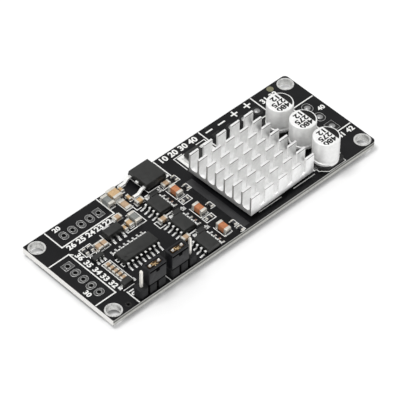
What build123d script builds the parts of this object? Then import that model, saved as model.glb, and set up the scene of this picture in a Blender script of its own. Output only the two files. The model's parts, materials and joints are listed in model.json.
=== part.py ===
from build123d import *
import os

# A bare motor controller module: one circuit board with its parts soldered on.
# Millimetres. The origin is the centre of the board's underside, +X runs along the long side to the
# motor port, +Y runs to the edge with the power port, and +Z points up out of the parts side.

# Directions on the board, in degrees
ALONG = 0
ACROSS = 90
REVERSED = 180

# Circuit board
BOARD_LENGTH = 80.3
BOARD_WIDTH = 29.4
BOARD_THICKNESS = 1.6
MOTOR_END_RADIUS = 1.0
CONTROL_END_RADIUS = 0.3
COPPER_PROUD = 0.05
PLATING_WALL = 0.05

# Mounting holes, measured in from the edges
MOUNT_HOLE_DIAMETER = 3.2
MOUNT_RING_DIAMETER = 4.05
MOUNT_INSET_X = 2.15
MOUNT_INSET_Y = 2.3

# Signal ports: rows of plated holes with oblong pads, the first pin's pad square-cornered
SIGNAL_PITCH = 2.54
SIGNAL_PIN_COUNT = 5
SIGNAL_DRILL = 0.95
SIGNAL_PAD_LONG = 2.5
SIGNAL_PAD_WIDE = 1.9
SENSOR_PORT_X = -26.15
SENSOR_PORT_INSET = 3.55
CONTROL_PORT_Y = -1.36
CONTROL_PORT_INSET = 3.4

# Power ports: wider holes, filled with solder
POWER_PITCH = 3.96
POWER_DRILL = 1.5
POWER_PAD_LONG = 2.9
POWER_PAD_WIDE = 2.4
MOTOR_PIN_COUNT = 3
MOTOR_PORT_Y = -0.6
MOTOR_PORT_INSET = 4.0
SUPPLY_PIN_COUNT = 4
SUPPLY_PORT_X = 21.1
SUPPLY_PORT_INSET = 4.2
SOLDER_DOME = 0.3

# Small test hole near the control port
TEST_HOLE_DRILL = 0.7
TEST_HOLE_PAD = 1.5
TEST_HOLE_INSET_X = 5.55
TEST_HOLE_INSET_Y = 1.3

# Jumper headers along the near edge
HEADER_PITCH = 2.54
HEADER_PIN_COUNT = 3
HEADER_DEPTH = 2.5
HEADER_HEIGHT = 2.5
HEADER_NOTCH = 0.4
HEADER_INSET = 1.6
LEFT_HEADER_X = -28.05
RIGHT_HEADER_X = -18.85
PIN_SIDE = 0.54
PIN_TOP = 7.5
PIN_TAIL = 1.1
PIN_POINT = 0.4
PIN_POINT_TAPER = 20
PIN_DRILL = 1.0
PIN_SOLDER_DIAMETER = 1.8
PIN_SOLDER_HEIGHT = 0.8
PIN_SOLDER_TIP = 1.0

# Jumper shunts, each over two of a header's three pins
SHUNT_LENGTH = 5.0
SHUNT_DEPTH = 2.45
SHUNT_HEIGHT = 4.4
SHUNT_EDGE = 0.2
SHUNT_LEAD_IN = 0.25
SHUNT_CLEARANCE = 0.05
SHUNT_LIFT = 0.2
SHUNT_GROOVE_DROP = 0.3
SHUNT_GROOVE_HEIGHT = 0.2
SHUNT_GROOVE_DEPTH = 0.3
SHUNT_WINDOW_WIDTH = 1.2
SHUNT_WINDOW_HEIGHT = 0.75
CONTACT_SHEET = 0.2
CONTACT_RAISE = 0.3
CONTACT_DROP = 0.1
CONTACT_GAP = 1.0

# Pin-fin heat sink, stuck on over the power transistors a little out of square
SINK_LENGTH = 19.9
SINK_WIDTH = 19.4
SINK_HEIGHT = 5.5
SINK_BASE = 1.15
SINK_FIN_COUNT = 8
SINK_FIN_THICKNESS = 0.5
SINK_FLOOR_RADIUS = 0.8
SINK_SEGMENT_COUNT = 5
SINK_CUT_WIDTH = 1.7
SINK_CUT_FLOOR = 1.35
SINK_X = 11.75
SINK_Y = -3.3
SINK_TURN = 1.5
TAPE_THICKNESS = 0.15
TAPE_MARGIN = 0.3

# Six power transistors in two columns of three, drain tab on -X and four source leads on +X
MOSFET_LENGTH = 4.1
MOSFET_WIDTH = 5.0
MOSFET_TOP = 1.05
MOSFET_ROW_COUNT = 3
MOSFET_X = 12.13
MOSFET_NEAR_ROW_Y = -9.5
MOSFET_COLUMN_PITCH = 10.6
MOSFET_ROW_PITCHES = (9.1, 7.6)
MOSFET_TAB_REACH = 1.1
MOSFET_TAB_WIDTH = 4.2
MOSFET_LEAD_REACH = 1.0
MOSFET_LEAD_WIDTH = 0.7
MOSFET_LEAD_COUNT = 4
MOSFET_LEAD_PITCH = 1.27
MOSFET_METAL = 0.25

# Moulded packages
MOULD_DRAFT = 8
LEAD_ROOT = 0.25

# Sixteen-pin controller and eight-pin gate drivers share one lead form
SO_PITCH = 1.27
SO_BODY_WIDTH = 3.6
SO_TOP = 1.6
SO_STANDOFF = 0.15
SO_LEAD_REACH = 1.25
SO_LEAD_WIDTH = 0.42
SO_LEAD_SHEET = 0.2
SO_FOOT = 0.6
SO_SHOULDER = 0.2
CONTROLLER_LENGTH = 9.9
CONTROLLER_SIDE_COUNT = 8
CONTROLLER_X = -22.65
CONTROLLER_Y = -3.1
DIMPLE_DIAMETER = 0.8
DIMPLE_DEPTH = 0.1
DIMPLE_INSET = 0.95
DRIVER_LENGTH = 4.9
DRIVER_SIDE_COUNT = 4
DRIVER_COUNT = 3
DRIVER_X = -10.25
DRIVER_Y = -4.38
DRIVER_PITCH = 7.63

# Linear regulator in a tab package, tab on +X and leads on -X
REGULATOR_LENGTH = 6.1
REGULATOR_WIDTH = 6.4
REGULATOR_TOP = 2.35
REGULATOR_X = -6.35
REGULATOR_Y = 11.5
REGULATOR_TAB_SHEET = 0.5
REGULATOR_TAB_REACH = 1.1
REGULATOR_TAB_WIDTH = 5.3
REGULATOR_TAB_CHAMFER = 0.65
REGULATOR_LEAD_SPAN = 4.6
REGULATOR_LEAD_WIDTH = 0.75
REGULATOR_LEAD_SHEET = 0.5
REGULATOR_LEAD_REACH = 2.9
REGULATOR_FOOT = 1.3
REGULATOR_SHOULDER = 0.6
REGULATOR_STUB = 0.8
REGULATOR_PARTING = 1.15

# Small reference regulator with three leads on -Y and its tab on +Y
REFERENCE_LENGTH = 4.5
REFERENCE_WIDTH = 2.5
REFERENCE_TOP = 1.5
REFERENCE_X = -22.95
REFERENCE_Y = 4.45
REFERENCE_LEAD_COUNT = 3
REFERENCE_LEAD_PITCH = 1.5
REFERENCE_LEAD_WIDTH = 0.45
REFERENCE_LEAD_REACH = 1.0
REFERENCE_TAB_WIDTH = 1.7
REFERENCE_TAB_REACH = 0.7
REFERENCE_METAL = 0.4

# Five-pin logic gate
GATE_LENGTH = 2.9
GATE_WIDTH = 1.6
GATE_TOP = 1.1
GATE_STANDOFF = 0.1
GATE_X = -30.25
GATE_Y = 1.25
GATE_NEAR_LEAD_COUNT = 3
GATE_LEAD_PITCH = 0.95
GATE_LEAD_WIDTH = 0.35
GATE_LEAD_SHEET = 0.15
GATE_LEAD_REACH = 0.6
GATE_FOOT = 0.35
GATE_SHOULDER = 0.1

# Diodes: one beside each gate driver, and one in the control corner
DIODE_LENGTH = 2.7
DIODE_WIDTH = 1.55
DIODE_TOP = 1.15
DIODE_STANDOFF = 0.1
DIODE_X = -8.3
DIODE_Y = -0.65
DIODE_LEAD_WIDTH = 0.6
DIODE_LEAD_SHEET = 0.15
DIODE_LEAD_REACH = 0.55
DIODE_FOOT = 0.35
DIODE_SHOULDER = 0.1
CORNER_DIODE_X = -30.75
CORNER_DIODE_Y = -8.75

# Electrolytic capacitors, a row of three between the heat sink and the motor port
CAN_DIAMETER = 6.3
CAN_TOP = 7.7
CAN_COUNT = 3
CAN_X = 27.2
CAN_Y = -3.9
CAN_PITCH = 7.38
CAN_TOP_RADIUS = 0.25
CAN_BOTTOM_RADIUS = 0.3
CAN_BEAD_RADIUS = 0.4
CAN_BEAD_DEPTH = 0.25
CAN_BEAD_RISE = 1.35
CAN_FACE_DEPTH = 0.06
CAN_FACE_RIM = 0.12
PLINTH_SIDE = 6.6
PLINTH_HEIGHT = 1.1
PLINTH_RECESS = 0.35
PLINTH_CHAMFER = 1.4
PLINTH_SMALL_CHAMFER = 0.5
PLINTH_CLEARANCE = 0.05
CAN_LEAD_WIDTH = 0.7
CAN_LEAD_SHEET = 0.25
CAN_LEAD_INNER = 1.0
CAN_LEAD_REACH = 0.6

# Chip parts: length, width and height of each size
CHIP_WRAP = 0.05
CHIP_END_SHARE = 0.22
SMALL_CHIP = (1.6, 0.8, 0.75)
FLAT_CHIP = (1.6, 0.8, 0.45)
MEDIUM_CHIP = (2.0, 1.25, 1.0)
LONG_CHIP = (3.2, 1.6, 1.6)
BLUNT_CHIP = (3.0, 2.4, 1.7)
LOW_CHIP = (3.0, 1.6, 0.6)
THIN_CHIP = (2.0, 1.25, 0.6)

# Chip places: size, X, Y and direction
SNUBBER_X = -4.45
SNUBBER_Y = -3.65
SNUBBER_PITCH = 7.65
RIPPLE_CHIPS = (
    (BLUNT_CHIP, -15.35, 12.3, ACROSS),
    (MEDIUM_CHIP, -18.5, 3.85, ACROSS),
    (MEDIUM_CHIP, -12.25, 7.35, ALONG),
    (SMALL_CHIP, -20.15, 3.6, ACROSS),
    (SMALL_CHIP, -13.2, 9.8, ACROSS),
    (SMALL_CHIP, -12.9, 12.8, ACROSS),
)
BYPASS_CHIPS = (
    (MEDIUM_CHIP, -28.15, 3.15, ACROSS),
    (MEDIUM_CHIP, -26.65, 3.15, ACROSS),
    (MEDIUM_CHIP, -12.35, -0.35, ALONG),
    (MEDIUM_CHIP, -12.45, -7.75, ALONG),
    (MEDIUM_CHIP, -19.35, 6.9, ALONG),
    (LOW_CHIP, -15.25, 8.85, ACROSS),
    (THIN_CHIP, -4.2, 7.55, ALONG),
)
FILTER_COUNT = 5
FILTER_X = -30.25
FILTER_Y = -4.6
FILTER_PITCH = 1.25
BEAD_CHIPS = (
    (LONG_CHIP, -16.85, 3.95, ACROSS),
    (LONG_CHIP, -17.75, 11.75, ACROSS),
)
RESISTOR_CHIPS = (
    (FLAT_CHIP, -31.1, 4.2, ACROSS),
    (FLAT_CHIP, -29.6, 4.2, ACROSS),
    (FLAT_CHIP, -4.35, 1.0, ALONG),
    (FLAT_CHIP, -4.35, -6.6, ALONG),
    (FLAT_CHIP, -1.5, 7.4, ACROSS),
    (FLAT_CHIP, -1.4, 3.75, ACROSS),
    (FLAT_CHIP, -1.4, -3.9, ACROSS),
    (FLAT_CHIP, -1.4, -11.4, ACROSS),
    (FLAT_CHIP, -1.4, -13.6, ACROSS),
)

# Heights that follow from the sizes above
TOP = BOARD_THICKNESS
SINK_SEAT = TOP + MOSFET_TOP + TAPE_THICKNESS
SINK_PLACE = Location((SINK_X, SINK_Y, SINK_SEAT), (0, 0, SINK_TURN))


def row(count, pitch, centre=0.0):
    """Places of a row of like things, centred on one value."""
    first = centre - pitch * (count - 1) / 2
    return [first + pitch * step for step in range(count)]


def slab(sketch, low, high):
    """A flat outline made solid from one height to another."""
    return extrude(Pos(0, 0, low) * sketch, amount=high - low)


def block(length, width, low, high):
    """A centred box from one height to another."""
    return slab(Rectangle(length, width), low, high)


# Through-hole places, from the board's edges

def mounting_places():
    half_x = BOARD_LENGTH / 2 - MOUNT_INSET_X
    half_y = BOARD_WIDTH / 2 - MOUNT_INSET_Y
    return [(x, y) for x in (-half_x, half_x) for y in (-half_y, half_y)]


def sensor_places():
    y = BOARD_WIDTH / 2 - SENSOR_PORT_INSET
    return [(x, y) for x in reversed(row(SIGNAL_PIN_COUNT, SIGNAL_PITCH, SENSOR_PORT_X))]


def control_places():
    x = CONTROL_PORT_INSET - BOARD_LENGTH / 2
    return [(x, y) for y in reversed(row(SIGNAL_PIN_COUNT, SIGNAL_PITCH, CONTROL_PORT_Y))]


def motor_places():
    x = BOARD_LENGTH / 2 - MOTOR_PORT_INSET
    return [(x, y) for y in row(MOTOR_PIN_COUNT, POWER_PITCH, MOTOR_PORT_Y)]


def supply_places():
    y = BOARD_WIDTH / 2 - SUPPLY_PORT_INSET
    return [(x, y) for x in row(SUPPLY_PIN_COUNT, POWER_PITCH, SUPPLY_PORT_X)]


def test_hole_place():
    return (TEST_HOLE_INSET_X - BOARD_LENGTH / 2, TEST_HOLE_INSET_Y - BOARD_WIDTH / 2)


def header_places(centre):
    y = HEADER_INSET - BOARD_WIDTH / 2
    return [(x, y) for x in row(HEADER_PIN_COUNT, HEADER_PITCH, centre)]


# Board and plated holes

def circuit_board():
    """The laminate with every hole drilled for its plating."""
    outline = Rectangle(BOARD_LENGTH, BOARD_WIDTH)
    outline = fillet(outline.vertices().group_by(Axis.X)[-1], MOTOR_END_RADIUS)
    outline = fillet(outline.vertices().group_by(Axis.X)[0], CONTROL_END_RADIUS)
    drilled = [(place, MOUNT_HOLE_DIAMETER) for place in mounting_places()]
    drilled += [(place, SIGNAL_DRILL) for place in sensor_places() + control_places()]
    drilled += [(place, POWER_DRILL) for place in motor_places() + supply_places()]
    drilled += [(test_hole_place(), TEST_HOLE_DRILL)]
    for (x, y), bore in drilled:
        outline -= Pos(x, y) * Circle(bore / 2 + PLATING_WALL)
    for x, y in header_places(LEFT_HEADER_X) + header_places(RIGHT_HEADER_X):
        outline -= Pos(x, y) * Circle(PIN_DRILL / 2)
    return slab(outline, 0, BOARD_THICKNESS)


def plated_hole(place, bore, land):
    """A copper barrel with a land on each face of the board, as one piece."""
    x, y = place
    barrel = slab(Circle(bore / 2 + PLATING_WALL), 0, TOP)
    rims = slab(land, TOP, TOP + COPPER_PROUD) + slab(land, -COPPER_PROUD, 0)
    hole = slab(Circle(bore / 2), -COPPER_PROUD, TOP + COPPER_PROUD)
    return Pos(x, y, 0) * (barrel + rims - hole)


def oblong(long, wide, turn):
    """A pad outline with round ends that is long across its row."""
    return Rot(0, 0, turn) * SlotOverall(long, wide)


def mounting_hole_plating():
    ring = Circle(MOUNT_RING_DIAMETER / 2)
    return [plated_hole(place, MOUNT_HOLE_DIAMETER, ring) for place in mounting_places()]


def port_pads(places, pad, turn):
    """A port's pads, of which the first has square corners."""
    bore, long, wide = pad
    square = Rot(0, 0, turn) * Rectangle(long, wide)
    pads = [plated_hole(places[0], bore, square)]
    return pads + [plated_hole(place, bore, oblong(long, wide, turn)) for place in places[1:]]


def solder_fill(place):
    """Solder that fills a power hole and stands in a low dome on both lands."""
    x, y = place
    radius = POWER_DRILL / 2
    high = TOP + COPPER_PROUD
    profile = Line((0, -SOLDER_DOME), (0, high + SOLDER_DOME))
    profile += TangentArc((0, high + SOLDER_DOME), (radius, high), tangent=(1, 0))
    profile += Line((radius, high), (radius, -COPPER_PROUD))
    profile += TangentArc((0, -SOLDER_DOME), (radius, -COPPER_PROUD), tangent=(1, 0))
    return Pos(x, y, 0) * revolve(Plane.XZ * make_face(profile), Axis.Z)


# Jumper headers and shunts

def header_base(centre):
    """A strip of square cells with notched sides, moulded round the pins."""
    y = HEADER_INSET - BOARD_WIDTH / 2
    cell = chamfer(Rectangle(HEADER_PITCH, HEADER_DEPTH).vertices(), HEADER_NOTCH)
    strip = Sketch() + [Pos(x, 0) * cell for x in row(HEADER_PIN_COUNT, HEADER_PITCH, centre)]
    strip -= [Pos(x, 0) * Rectangle(PIN_SIDE, PIN_SIDE) for x in row(HEADER_PIN_COUNT, HEADER_PITCH, centre)]
    return Pos(0, y, 0) * slab(strip, TOP, TOP + HEADER_HEIGHT)


def header_pin(place):
    """A square pin with a pointed top, its tail cut off below the board."""
    x, y = place
    square = Rectangle(PIN_SIDE, PIN_SIDE)
    shoulder = TOP + PIN_TOP - PIN_POINT
    shank = slab(square, -PIN_TAIL, shoulder)
    point = extrude(Pos(0, 0, shoulder) * square, amount=PIN_POINT, taper=PIN_POINT_TAPER)
    return Pos(x, y, 0) * (shank + point)


def pin_solder(place):
    """Solder that fills the hole round a pin and climbs its tail in a cone."""
    x, y = place
    hanging = (Align.CENTER, Align.CENTER, Align.MAX)
    cone = Cone(PIN_SOLDER_TIP / 2, PIN_SOLDER_DIAMETER / 2, PIN_SOLDER_HEIGHT, align=hanging)
    plug = slab(Circle(PIN_DRILL / 2), 0, TOP)
    pin = block(PIN_SIDE, PIN_SIDE, -PIN_TAIL, TOP)
    return Pos(x, y, 0) * (cone + plug - pin)


def shunt_place(header_centre, side):
    """Middle of the two pins that a shunt joins; side is +1 for the right pair."""
    x = header_centre + side * HEADER_PITCH / 2
    return Pos(x, HEADER_INSET - BOARD_WIDTH / 2, TOP + HEADER_HEIGHT + SHUNT_LIFT)


def contact_outline(grow):
    length = HEADER_PITCH + PIN_SIDE + 2 * (CONTACT_SHEET + grow)
    width = PIN_SIDE + 2 * (CONTACT_SHEET + grow)
    return RectangleRounded(length, width, CONTACT_SHEET)


def shunt_housing(header_centre, side):
    """A cap with a through pocket, bevelled at its mouth, a front groove and a window below it."""
    shell = block(SHUNT_LENGTH, SHUNT_DEPTH, 0, SHUNT_HEIGHT)
    shell = fillet(shell.edges().filter_by(Axis.Z), SHUNT_EDGE)
    shell -= slab(contact_outline(SHUNT_CLEARANCE), 0, SHUNT_HEIGHT)
    mouth = slab(contact_outline(SHUNT_CLEARANCE + SHUNT_LEAD_IN), SHUNT_HEIGHT - SHUNT_LEAD_IN, SHUNT_HEIGHT)
    shell -= mouth
    groove_top = SHUNT_HEIGHT - SHUNT_GROOVE_DROP
    groove = block(SHUNT_LENGTH, SHUNT_GROOVE_DEPTH, groove_top - SHUNT_GROOVE_HEIGHT, groove_top)
    shell -= Pos(0, (SHUNT_GROOVE_DEPTH - SHUNT_DEPTH) / 2, 0) * groove
    window = block(SHUNT_WINDOW_WIDTH, SHUNT_DEPTH / 2, groove_top - SHUNT_WINDOW_HEIGHT, groove_top)
    shell -= Pos(0, -SHUNT_DEPTH / 4, 0) * window
    return shunt_place(header_centre, side) * shell


def shunt_contact(header_centre, side):
    """A sheet clip folded round both pins, open in the middle of its front."""
    ring = contact_outline(0) - Rectangle(HEADER_PITCH + PIN_SIDE, PIN_SIDE)
    ring -= Pos(0, -PIN_SIDE) * Rectangle(CONTACT_GAP, PIN_SIDE)
    clip = slab(ring, CONTACT_RAISE, SHUNT_HEIGHT - CONTACT_DROP)
    return shunt_place(header_centre, side) * clip


# Heat sink

def sink_profile():
    """Extruded section: a base with thin fins and round-cornered channels between them."""
    fin_pitch = (SINK_WIDTH - SINK_FIN_THICKNESS) / (SINK_FIN_COUNT - 1)
    channel_width = fin_pitch - SINK_FIN_THICKNESS
    channel_height = SINK_HEIGHT - SINK_BASE
    channel = Rectangle(channel_width, channel_height, align=(Align.CENTER, Align.MIN))
    channel = fillet(channel.vertices().group_by(Axis.Y)[0], SINK_FLOOR_RADIUS)
    section = Rectangle(SINK_WIDTH, SINK_HEIGHT, align=(Align.CENTER, Align.MIN))
    section -= [Pos(y, SINK_BASE) * channel for y in row(SINK_FIN_COUNT - 1, fin_pitch)]
    return section


def heatsink():
    """The extrusion, with its fins cross-cut into rows of pins."""
    sink = extrude(Plane.YZ * sink_profile(), amount=SINK_LENGTH / 2, both=True)
    segment = (SINK_LENGTH - SINK_CUT_WIDTH * (SINK_SEGMENT_COUNT - 1)) / SINK_SEGMENT_COUNT
    cut = block(SINK_CUT_WIDTH, SINK_WIDTH, SINK_CUT_FLOOR, SINK_HEIGHT)
    sink -= [Pos(x, 0, 0) * cut for x in row(SINK_SEGMENT_COUNT - 1, segment + SINK_CUT_WIDTH)]
    return SINK_PLACE * sink


def thermal_tape():
    """The adhesive pad between the transistors and the heat sink."""
    length = SINK_LENGTH - 2 * TAPE_MARGIN
    width = SINK_WIDTH - 2 * TAPE_MARGIN
    return SINK_PLACE * block(length, width, -TAPE_THICKNESS, 0)


# Moulded packages

def moulded_body(length, width, low, parting, high):
    """A moulded case that is widest at its parting line and drafted both ways."""
    outline = Rectangle(length, width)
    upper = extrude(Plane((0, 0, parting)) * outline, amount=high - parting, taper=MOULD_DRAFT)
    under = Plane((0, 0, parting), z_dir=(0, 0, -1)) * outline
    lower = extrude(under, amount=parting - low, taper=MOULD_DRAFT)
    return upper + lower


def gull_lead(body_half, parting, sheet, width, reach, foot, shoulder):
    """A bent lead that points along +X, its foot on the height of zero."""
    root = body_half - LEAD_ROOT
    knee = body_half + shoulder
    tip = body_half + reach
    heel = tip - foot
    top = parting + sheet / 2
    under = parting - sheet / 2
    side = Polygon(
        (root, under), (root, top), (knee, top), (heel, sheet),
        (tip, sheet), (tip, 0), (heel - sheet / 2, 0), (knee - sheet / 2, under),
        align=None,
    )
    return extrude(Plane.XZ * side, amount=width / 2, both=True)


def both_sides(piece, places):
    """Copies of a piece that points along +X, in a row on each side of a body."""
    right = [Pos(0, y, 0) * piece for y in places]
    return right + [Rot(0, 0, REVERSED) * copy for copy in right]


def so_package(length, leads_a_side):
    """Body and leads of a small-outline package, its rows on the two X sides."""
    parting = (SO_STANDOFF + SO_TOP) / 2
    half = SO_BODY_WIDTH / 2
    lead = gull_lead(half, parting, SO_LEAD_SHEET, SO_LEAD_WIDTH, SO_LEAD_REACH, SO_FOOT, SO_SHOULDER)
    places = row(leads_a_side, SO_PITCH)
    leads = both_sides(lead, places)
    body = moulded_body(SO_BODY_WIDTH, length, SO_STANDOFF, parting, SO_TOP) - leads
    return body, leads


def controller():
    """The sixteen-pin package, with a dimple in its top that marks the first pin."""
    body, leads = so_package(CONTROLLER_LENGTH, CONTROLLER_SIDE_COUNT)
    dimple = slab(Circle(DIMPLE_DIAMETER / 2), SO_TOP - DIMPLE_DEPTH, SO_TOP)
    body -= Pos(DIMPLE_INSET - SO_BODY_WIDTH / 2, CONTROLLER_LENGTH / 2 - DIMPLE_INSET, 0) * dimple
    return body, leads


def power_transistor():
    """Body and metal of one flat power package."""
    half = MOSFET_LENGTH / 2
    tab = Pos(-half - MOSFET_TAB_REACH / 2 + LEAD_ROOT, 0) * Rectangle(
        MOSFET_TAB_REACH + 2 * LEAD_ROOT, MOSFET_TAB_WIDTH)
    metal = [slab(tab, 0, MOSFET_METAL)]
    lead = Pos(half + MOSFET_LEAD_REACH / 2 - LEAD_ROOT, 0) * Rectangle(
        MOSFET_LEAD_REACH + 2 * LEAD_ROOT, MOSFET_LEAD_WIDTH)
    lead_places = row(MOSFET_LEAD_COUNT, MOSFET_LEAD_PITCH)
    metal += [slab(Pos(0, y) * lead, 0, MOSFET_METAL) for y in lead_places]
    body = moulded_body(MOSFET_LENGTH, MOSFET_WIDTH, 0, MOSFET_METAL, MOSFET_TOP) - metal
    return body, metal


def transistor_places():
    """Two columns; the right one is closer set, to clear the supply port."""
    columns = row(len(MOSFET_ROW_PITCHES), MOSFET_COLUMN_PITCH, MOSFET_X)
    return [(x, MOSFET_NEAR_ROW_Y + pitch * step)
            for x, pitch in zip(columns, MOSFET_ROW_PITCHES) for step in range(MOSFET_ROW_COUNT)]


def regulator():
    """Body and metal of the tab regulator; its middle lead is cut short."""
    half = REGULATOR_LENGTH / 2
    tab_length = half + REGULATOR_TAB_REACH
    tab = Rectangle(tab_length, REGULATOR_TAB_WIDTH)
    tab = chamfer(tab.vertices().group_by(Axis.X)[-1], REGULATOR_TAB_CHAMFER)
    metal = [slab(Pos(tab_length / 2, 0) * tab, 0, REGULATOR_TAB_SHEET)]
    lead = Rot(0, 0, REVERSED) * gull_lead(
        half, REGULATOR_PARTING, REGULATOR_LEAD_SHEET, REGULATOR_LEAD_WIDTH,
        REGULATOR_LEAD_REACH, REGULATOR_FOOT, REGULATOR_SHOULDER)
    metal += [Pos(0, side * REGULATOR_LEAD_SPAN / 2, 0) * lead for side in (-1, 1)]
    stub = block(REGULATOR_STUB + LEAD_ROOT, REGULATOR_LEAD_WIDTH,
                 REGULATOR_PARTING - REGULATOR_LEAD_SHEET / 2, REGULATOR_PARTING + REGULATOR_LEAD_SHEET / 2)
    metal += [Pos(-half - (REGULATOR_STUB - LEAD_ROOT) / 2, 0, 0) * stub]
    body = moulded_body(REGULATOR_LENGTH, REGULATOR_WIDTH, 0, REGULATOR_PARTING, REGULATOR_TOP) - metal
    return body, metal


def reference_regulator():
    """Body and metal of the three-lead regulator with a flat tab."""
    half = REFERENCE_WIDTH / 2
    lead = Pos(0, -half - REFERENCE_LEAD_REACH / 2 + LEAD_ROOT) * Rectangle(
        REFERENCE_LEAD_WIDTH, REFERENCE_LEAD_REACH + 2 * LEAD_ROOT)
    places = row(REFERENCE_LEAD_COUNT, REFERENCE_LEAD_PITCH)
    metal = [slab(Pos(x, 0) * lead, 0, REFERENCE_METAL) for x in places]
    tab = Pos(0, half + REFERENCE_TAB_REACH / 2 - LEAD_ROOT) * Rectangle(
        REFERENCE_TAB_WIDTH, REFERENCE_TAB_REACH + 2 * LEAD_ROOT)
    metal += [slab(tab, 0, REFERENCE_METAL)]
    body = moulded_body(REFERENCE_LENGTH, REFERENCE_WIDTH, 0, REFERENCE_METAL, REFERENCE_TOP) - metal
    return body, metal


def logic_gate():
    """Body and leads of the five-pin gate: three leads on -Y and two on +Y."""
    parting = (GATE_STANDOFF + GATE_TOP) / 2
    half = GATE_WIDTH / 2
    lead = Rot(0, 0, -ACROSS) * gull_lead(
        half, parting, GATE_LEAD_SHEET, GATE_LEAD_WIDTH, GATE_LEAD_REACH, GATE_FOOT, GATE_SHOULDER)
    near = row(GATE_NEAR_LEAD_COUNT, GATE_LEAD_PITCH)
    far = [near[0], near[-1]]
    leads = [Pos(x, 0, 0) * lead for x in near]
    leads += [Pos(x, 0, 0) * Rot(0, 0, REVERSED) * lead for x in far]
    body = moulded_body(GATE_LENGTH, GATE_WIDTH, GATE_STANDOFF, parting, GATE_TOP) - leads
    return body, leads


def diode():
    """Body and leads of one diode."""
    parting = (DIODE_STANDOFF + DIODE_TOP) / 2
    half = DIODE_LENGTH / 2
    lead = gull_lead(
        half, parting, DIODE_LEAD_SHEET, DIODE_LEAD_WIDTH, DIODE_LEAD_REACH, DIODE_FOOT, DIODE_SHOULDER)
    leads = both_sides(lead, [0])
    body = moulded_body(DIODE_LENGTH, DIODE_WIDTH, DIODE_STANDOFF, parting, DIODE_TOP) - leads
    return body, leads


# Electrolytic capacitors

def can_profile():
    """Half section of the can: rolled bottom edge, pressed bead, round shoulder, sunk face."""
    radius = CAN_DIAMETER / 2
    low = PLINTH_HEIGHT - PLINTH_RECESS
    bead = low + CAN_BEAD_RISE
    face = CAN_TOP - CAN_FACE_DEPTH
    shoulder = radius - CAN_TOP_RADIUS
    rim = shoulder - CAN_FACE_RIM
    outline = Line((0, face), (0, low))
    foot = radius - CAN_BOTTOM_RADIUS
    outline += Line((0, low), (foot, low))
    outline += TangentArc((foot, low), (radius, low + CAN_BOTTOM_RADIUS), tangent=(1, 0))
    outline += Line((radius, low + CAN_BOTTOM_RADIUS), (radius, bead - CAN_BEAD_RADIUS))
    outline += ThreePointArc((radius, bead - CAN_BEAD_RADIUS), (radius - CAN_BEAD_DEPTH, bead),
                             (radius, bead + CAN_BEAD_RADIUS))
    outline += Line((radius, bead + CAN_BEAD_RADIUS), (radius, CAN_TOP - CAN_TOP_RADIUS))
    outline += TangentArc((radius, CAN_TOP - CAN_TOP_RADIUS), (shoulder, CAN_TOP), tangent=(0, 1))
    outline += Polyline((shoulder, CAN_TOP), (rim + CAN_FACE_DEPTH, CAN_TOP), (rim, face), (0, face))
    return make_face(outline)


def can():
    return revolve(Plane.XZ * can_profile(), Axis.Z)


def can_leads():
    """Two flat leads that run out under the plinth, one on each X side."""
    inner = CAN_LEAD_INNER
    outer = PLINTH_SIDE / 2 + CAN_LEAD_REACH
    lead = Pos((inner + outer) / 2, 0) * Rectangle(outer - inner, CAN_LEAD_WIDTH)
    return both_sides(slab(lead, 0, CAN_LEAD_SHEET), [0])


def can_plinth():
    """Plastic foot with cut corners, larger on the positive side, and a seat for the can."""
    outline = Rectangle(PLINTH_SIDE, PLINTH_SIDE)
    outline = chamfer(outline.vertices().group_by(Axis.X)[0], PLINTH_CHAMFER)
    outline = chamfer(outline.vertices().group_by(Axis.X)[-1], PLINTH_SMALL_CHAMFER)
    plinth = slab(outline, 0, PLINTH_HEIGHT)
    plinth -= slab(Circle(CAN_DIAMETER / 2 + PLINTH_CLEARANCE), PLINTH_HEIGHT - PLINTH_RECESS, PLINTH_HEIGHT)
    return plinth - can_leads()


# Chip parts

def chip(size):
    """Ceramic block and two wrapped end terminals of a chip part."""
    length, width, height = size
    end = length * CHIP_END_SHARE
    core = block(length - 2 * CHIP_WRAP, width - 2 * CHIP_WRAP, CHIP_WRAP, height - CHIP_WRAP)
    shells = []
    for side in (-1, 1):
        cap = Pos(side * (length - end) / 2, 0, 0) * block(end, width, 0, height)
        shells.append(cap - core)
    return core, shells


def place_chips(chips, cores, terminals):
    """Put each listed chip on the board and collect its pieces."""
    for size, x, y, turn in chips:
        core, shells = chip(size)
        place = Location((x, y, TOP), (0, 0, turn))
        cores.append(place * core)
        terminals += [place * shell for shell in shells]


def place_package(parts, x, y, turn):
    """Put a package's body and its metal on the board."""
    body, metal = parts
    place = Location((x, y, TOP), (0, 0, turn))
    return place * body, [place * piece for piece in metal]


# Assembly: node name to its solids

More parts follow.
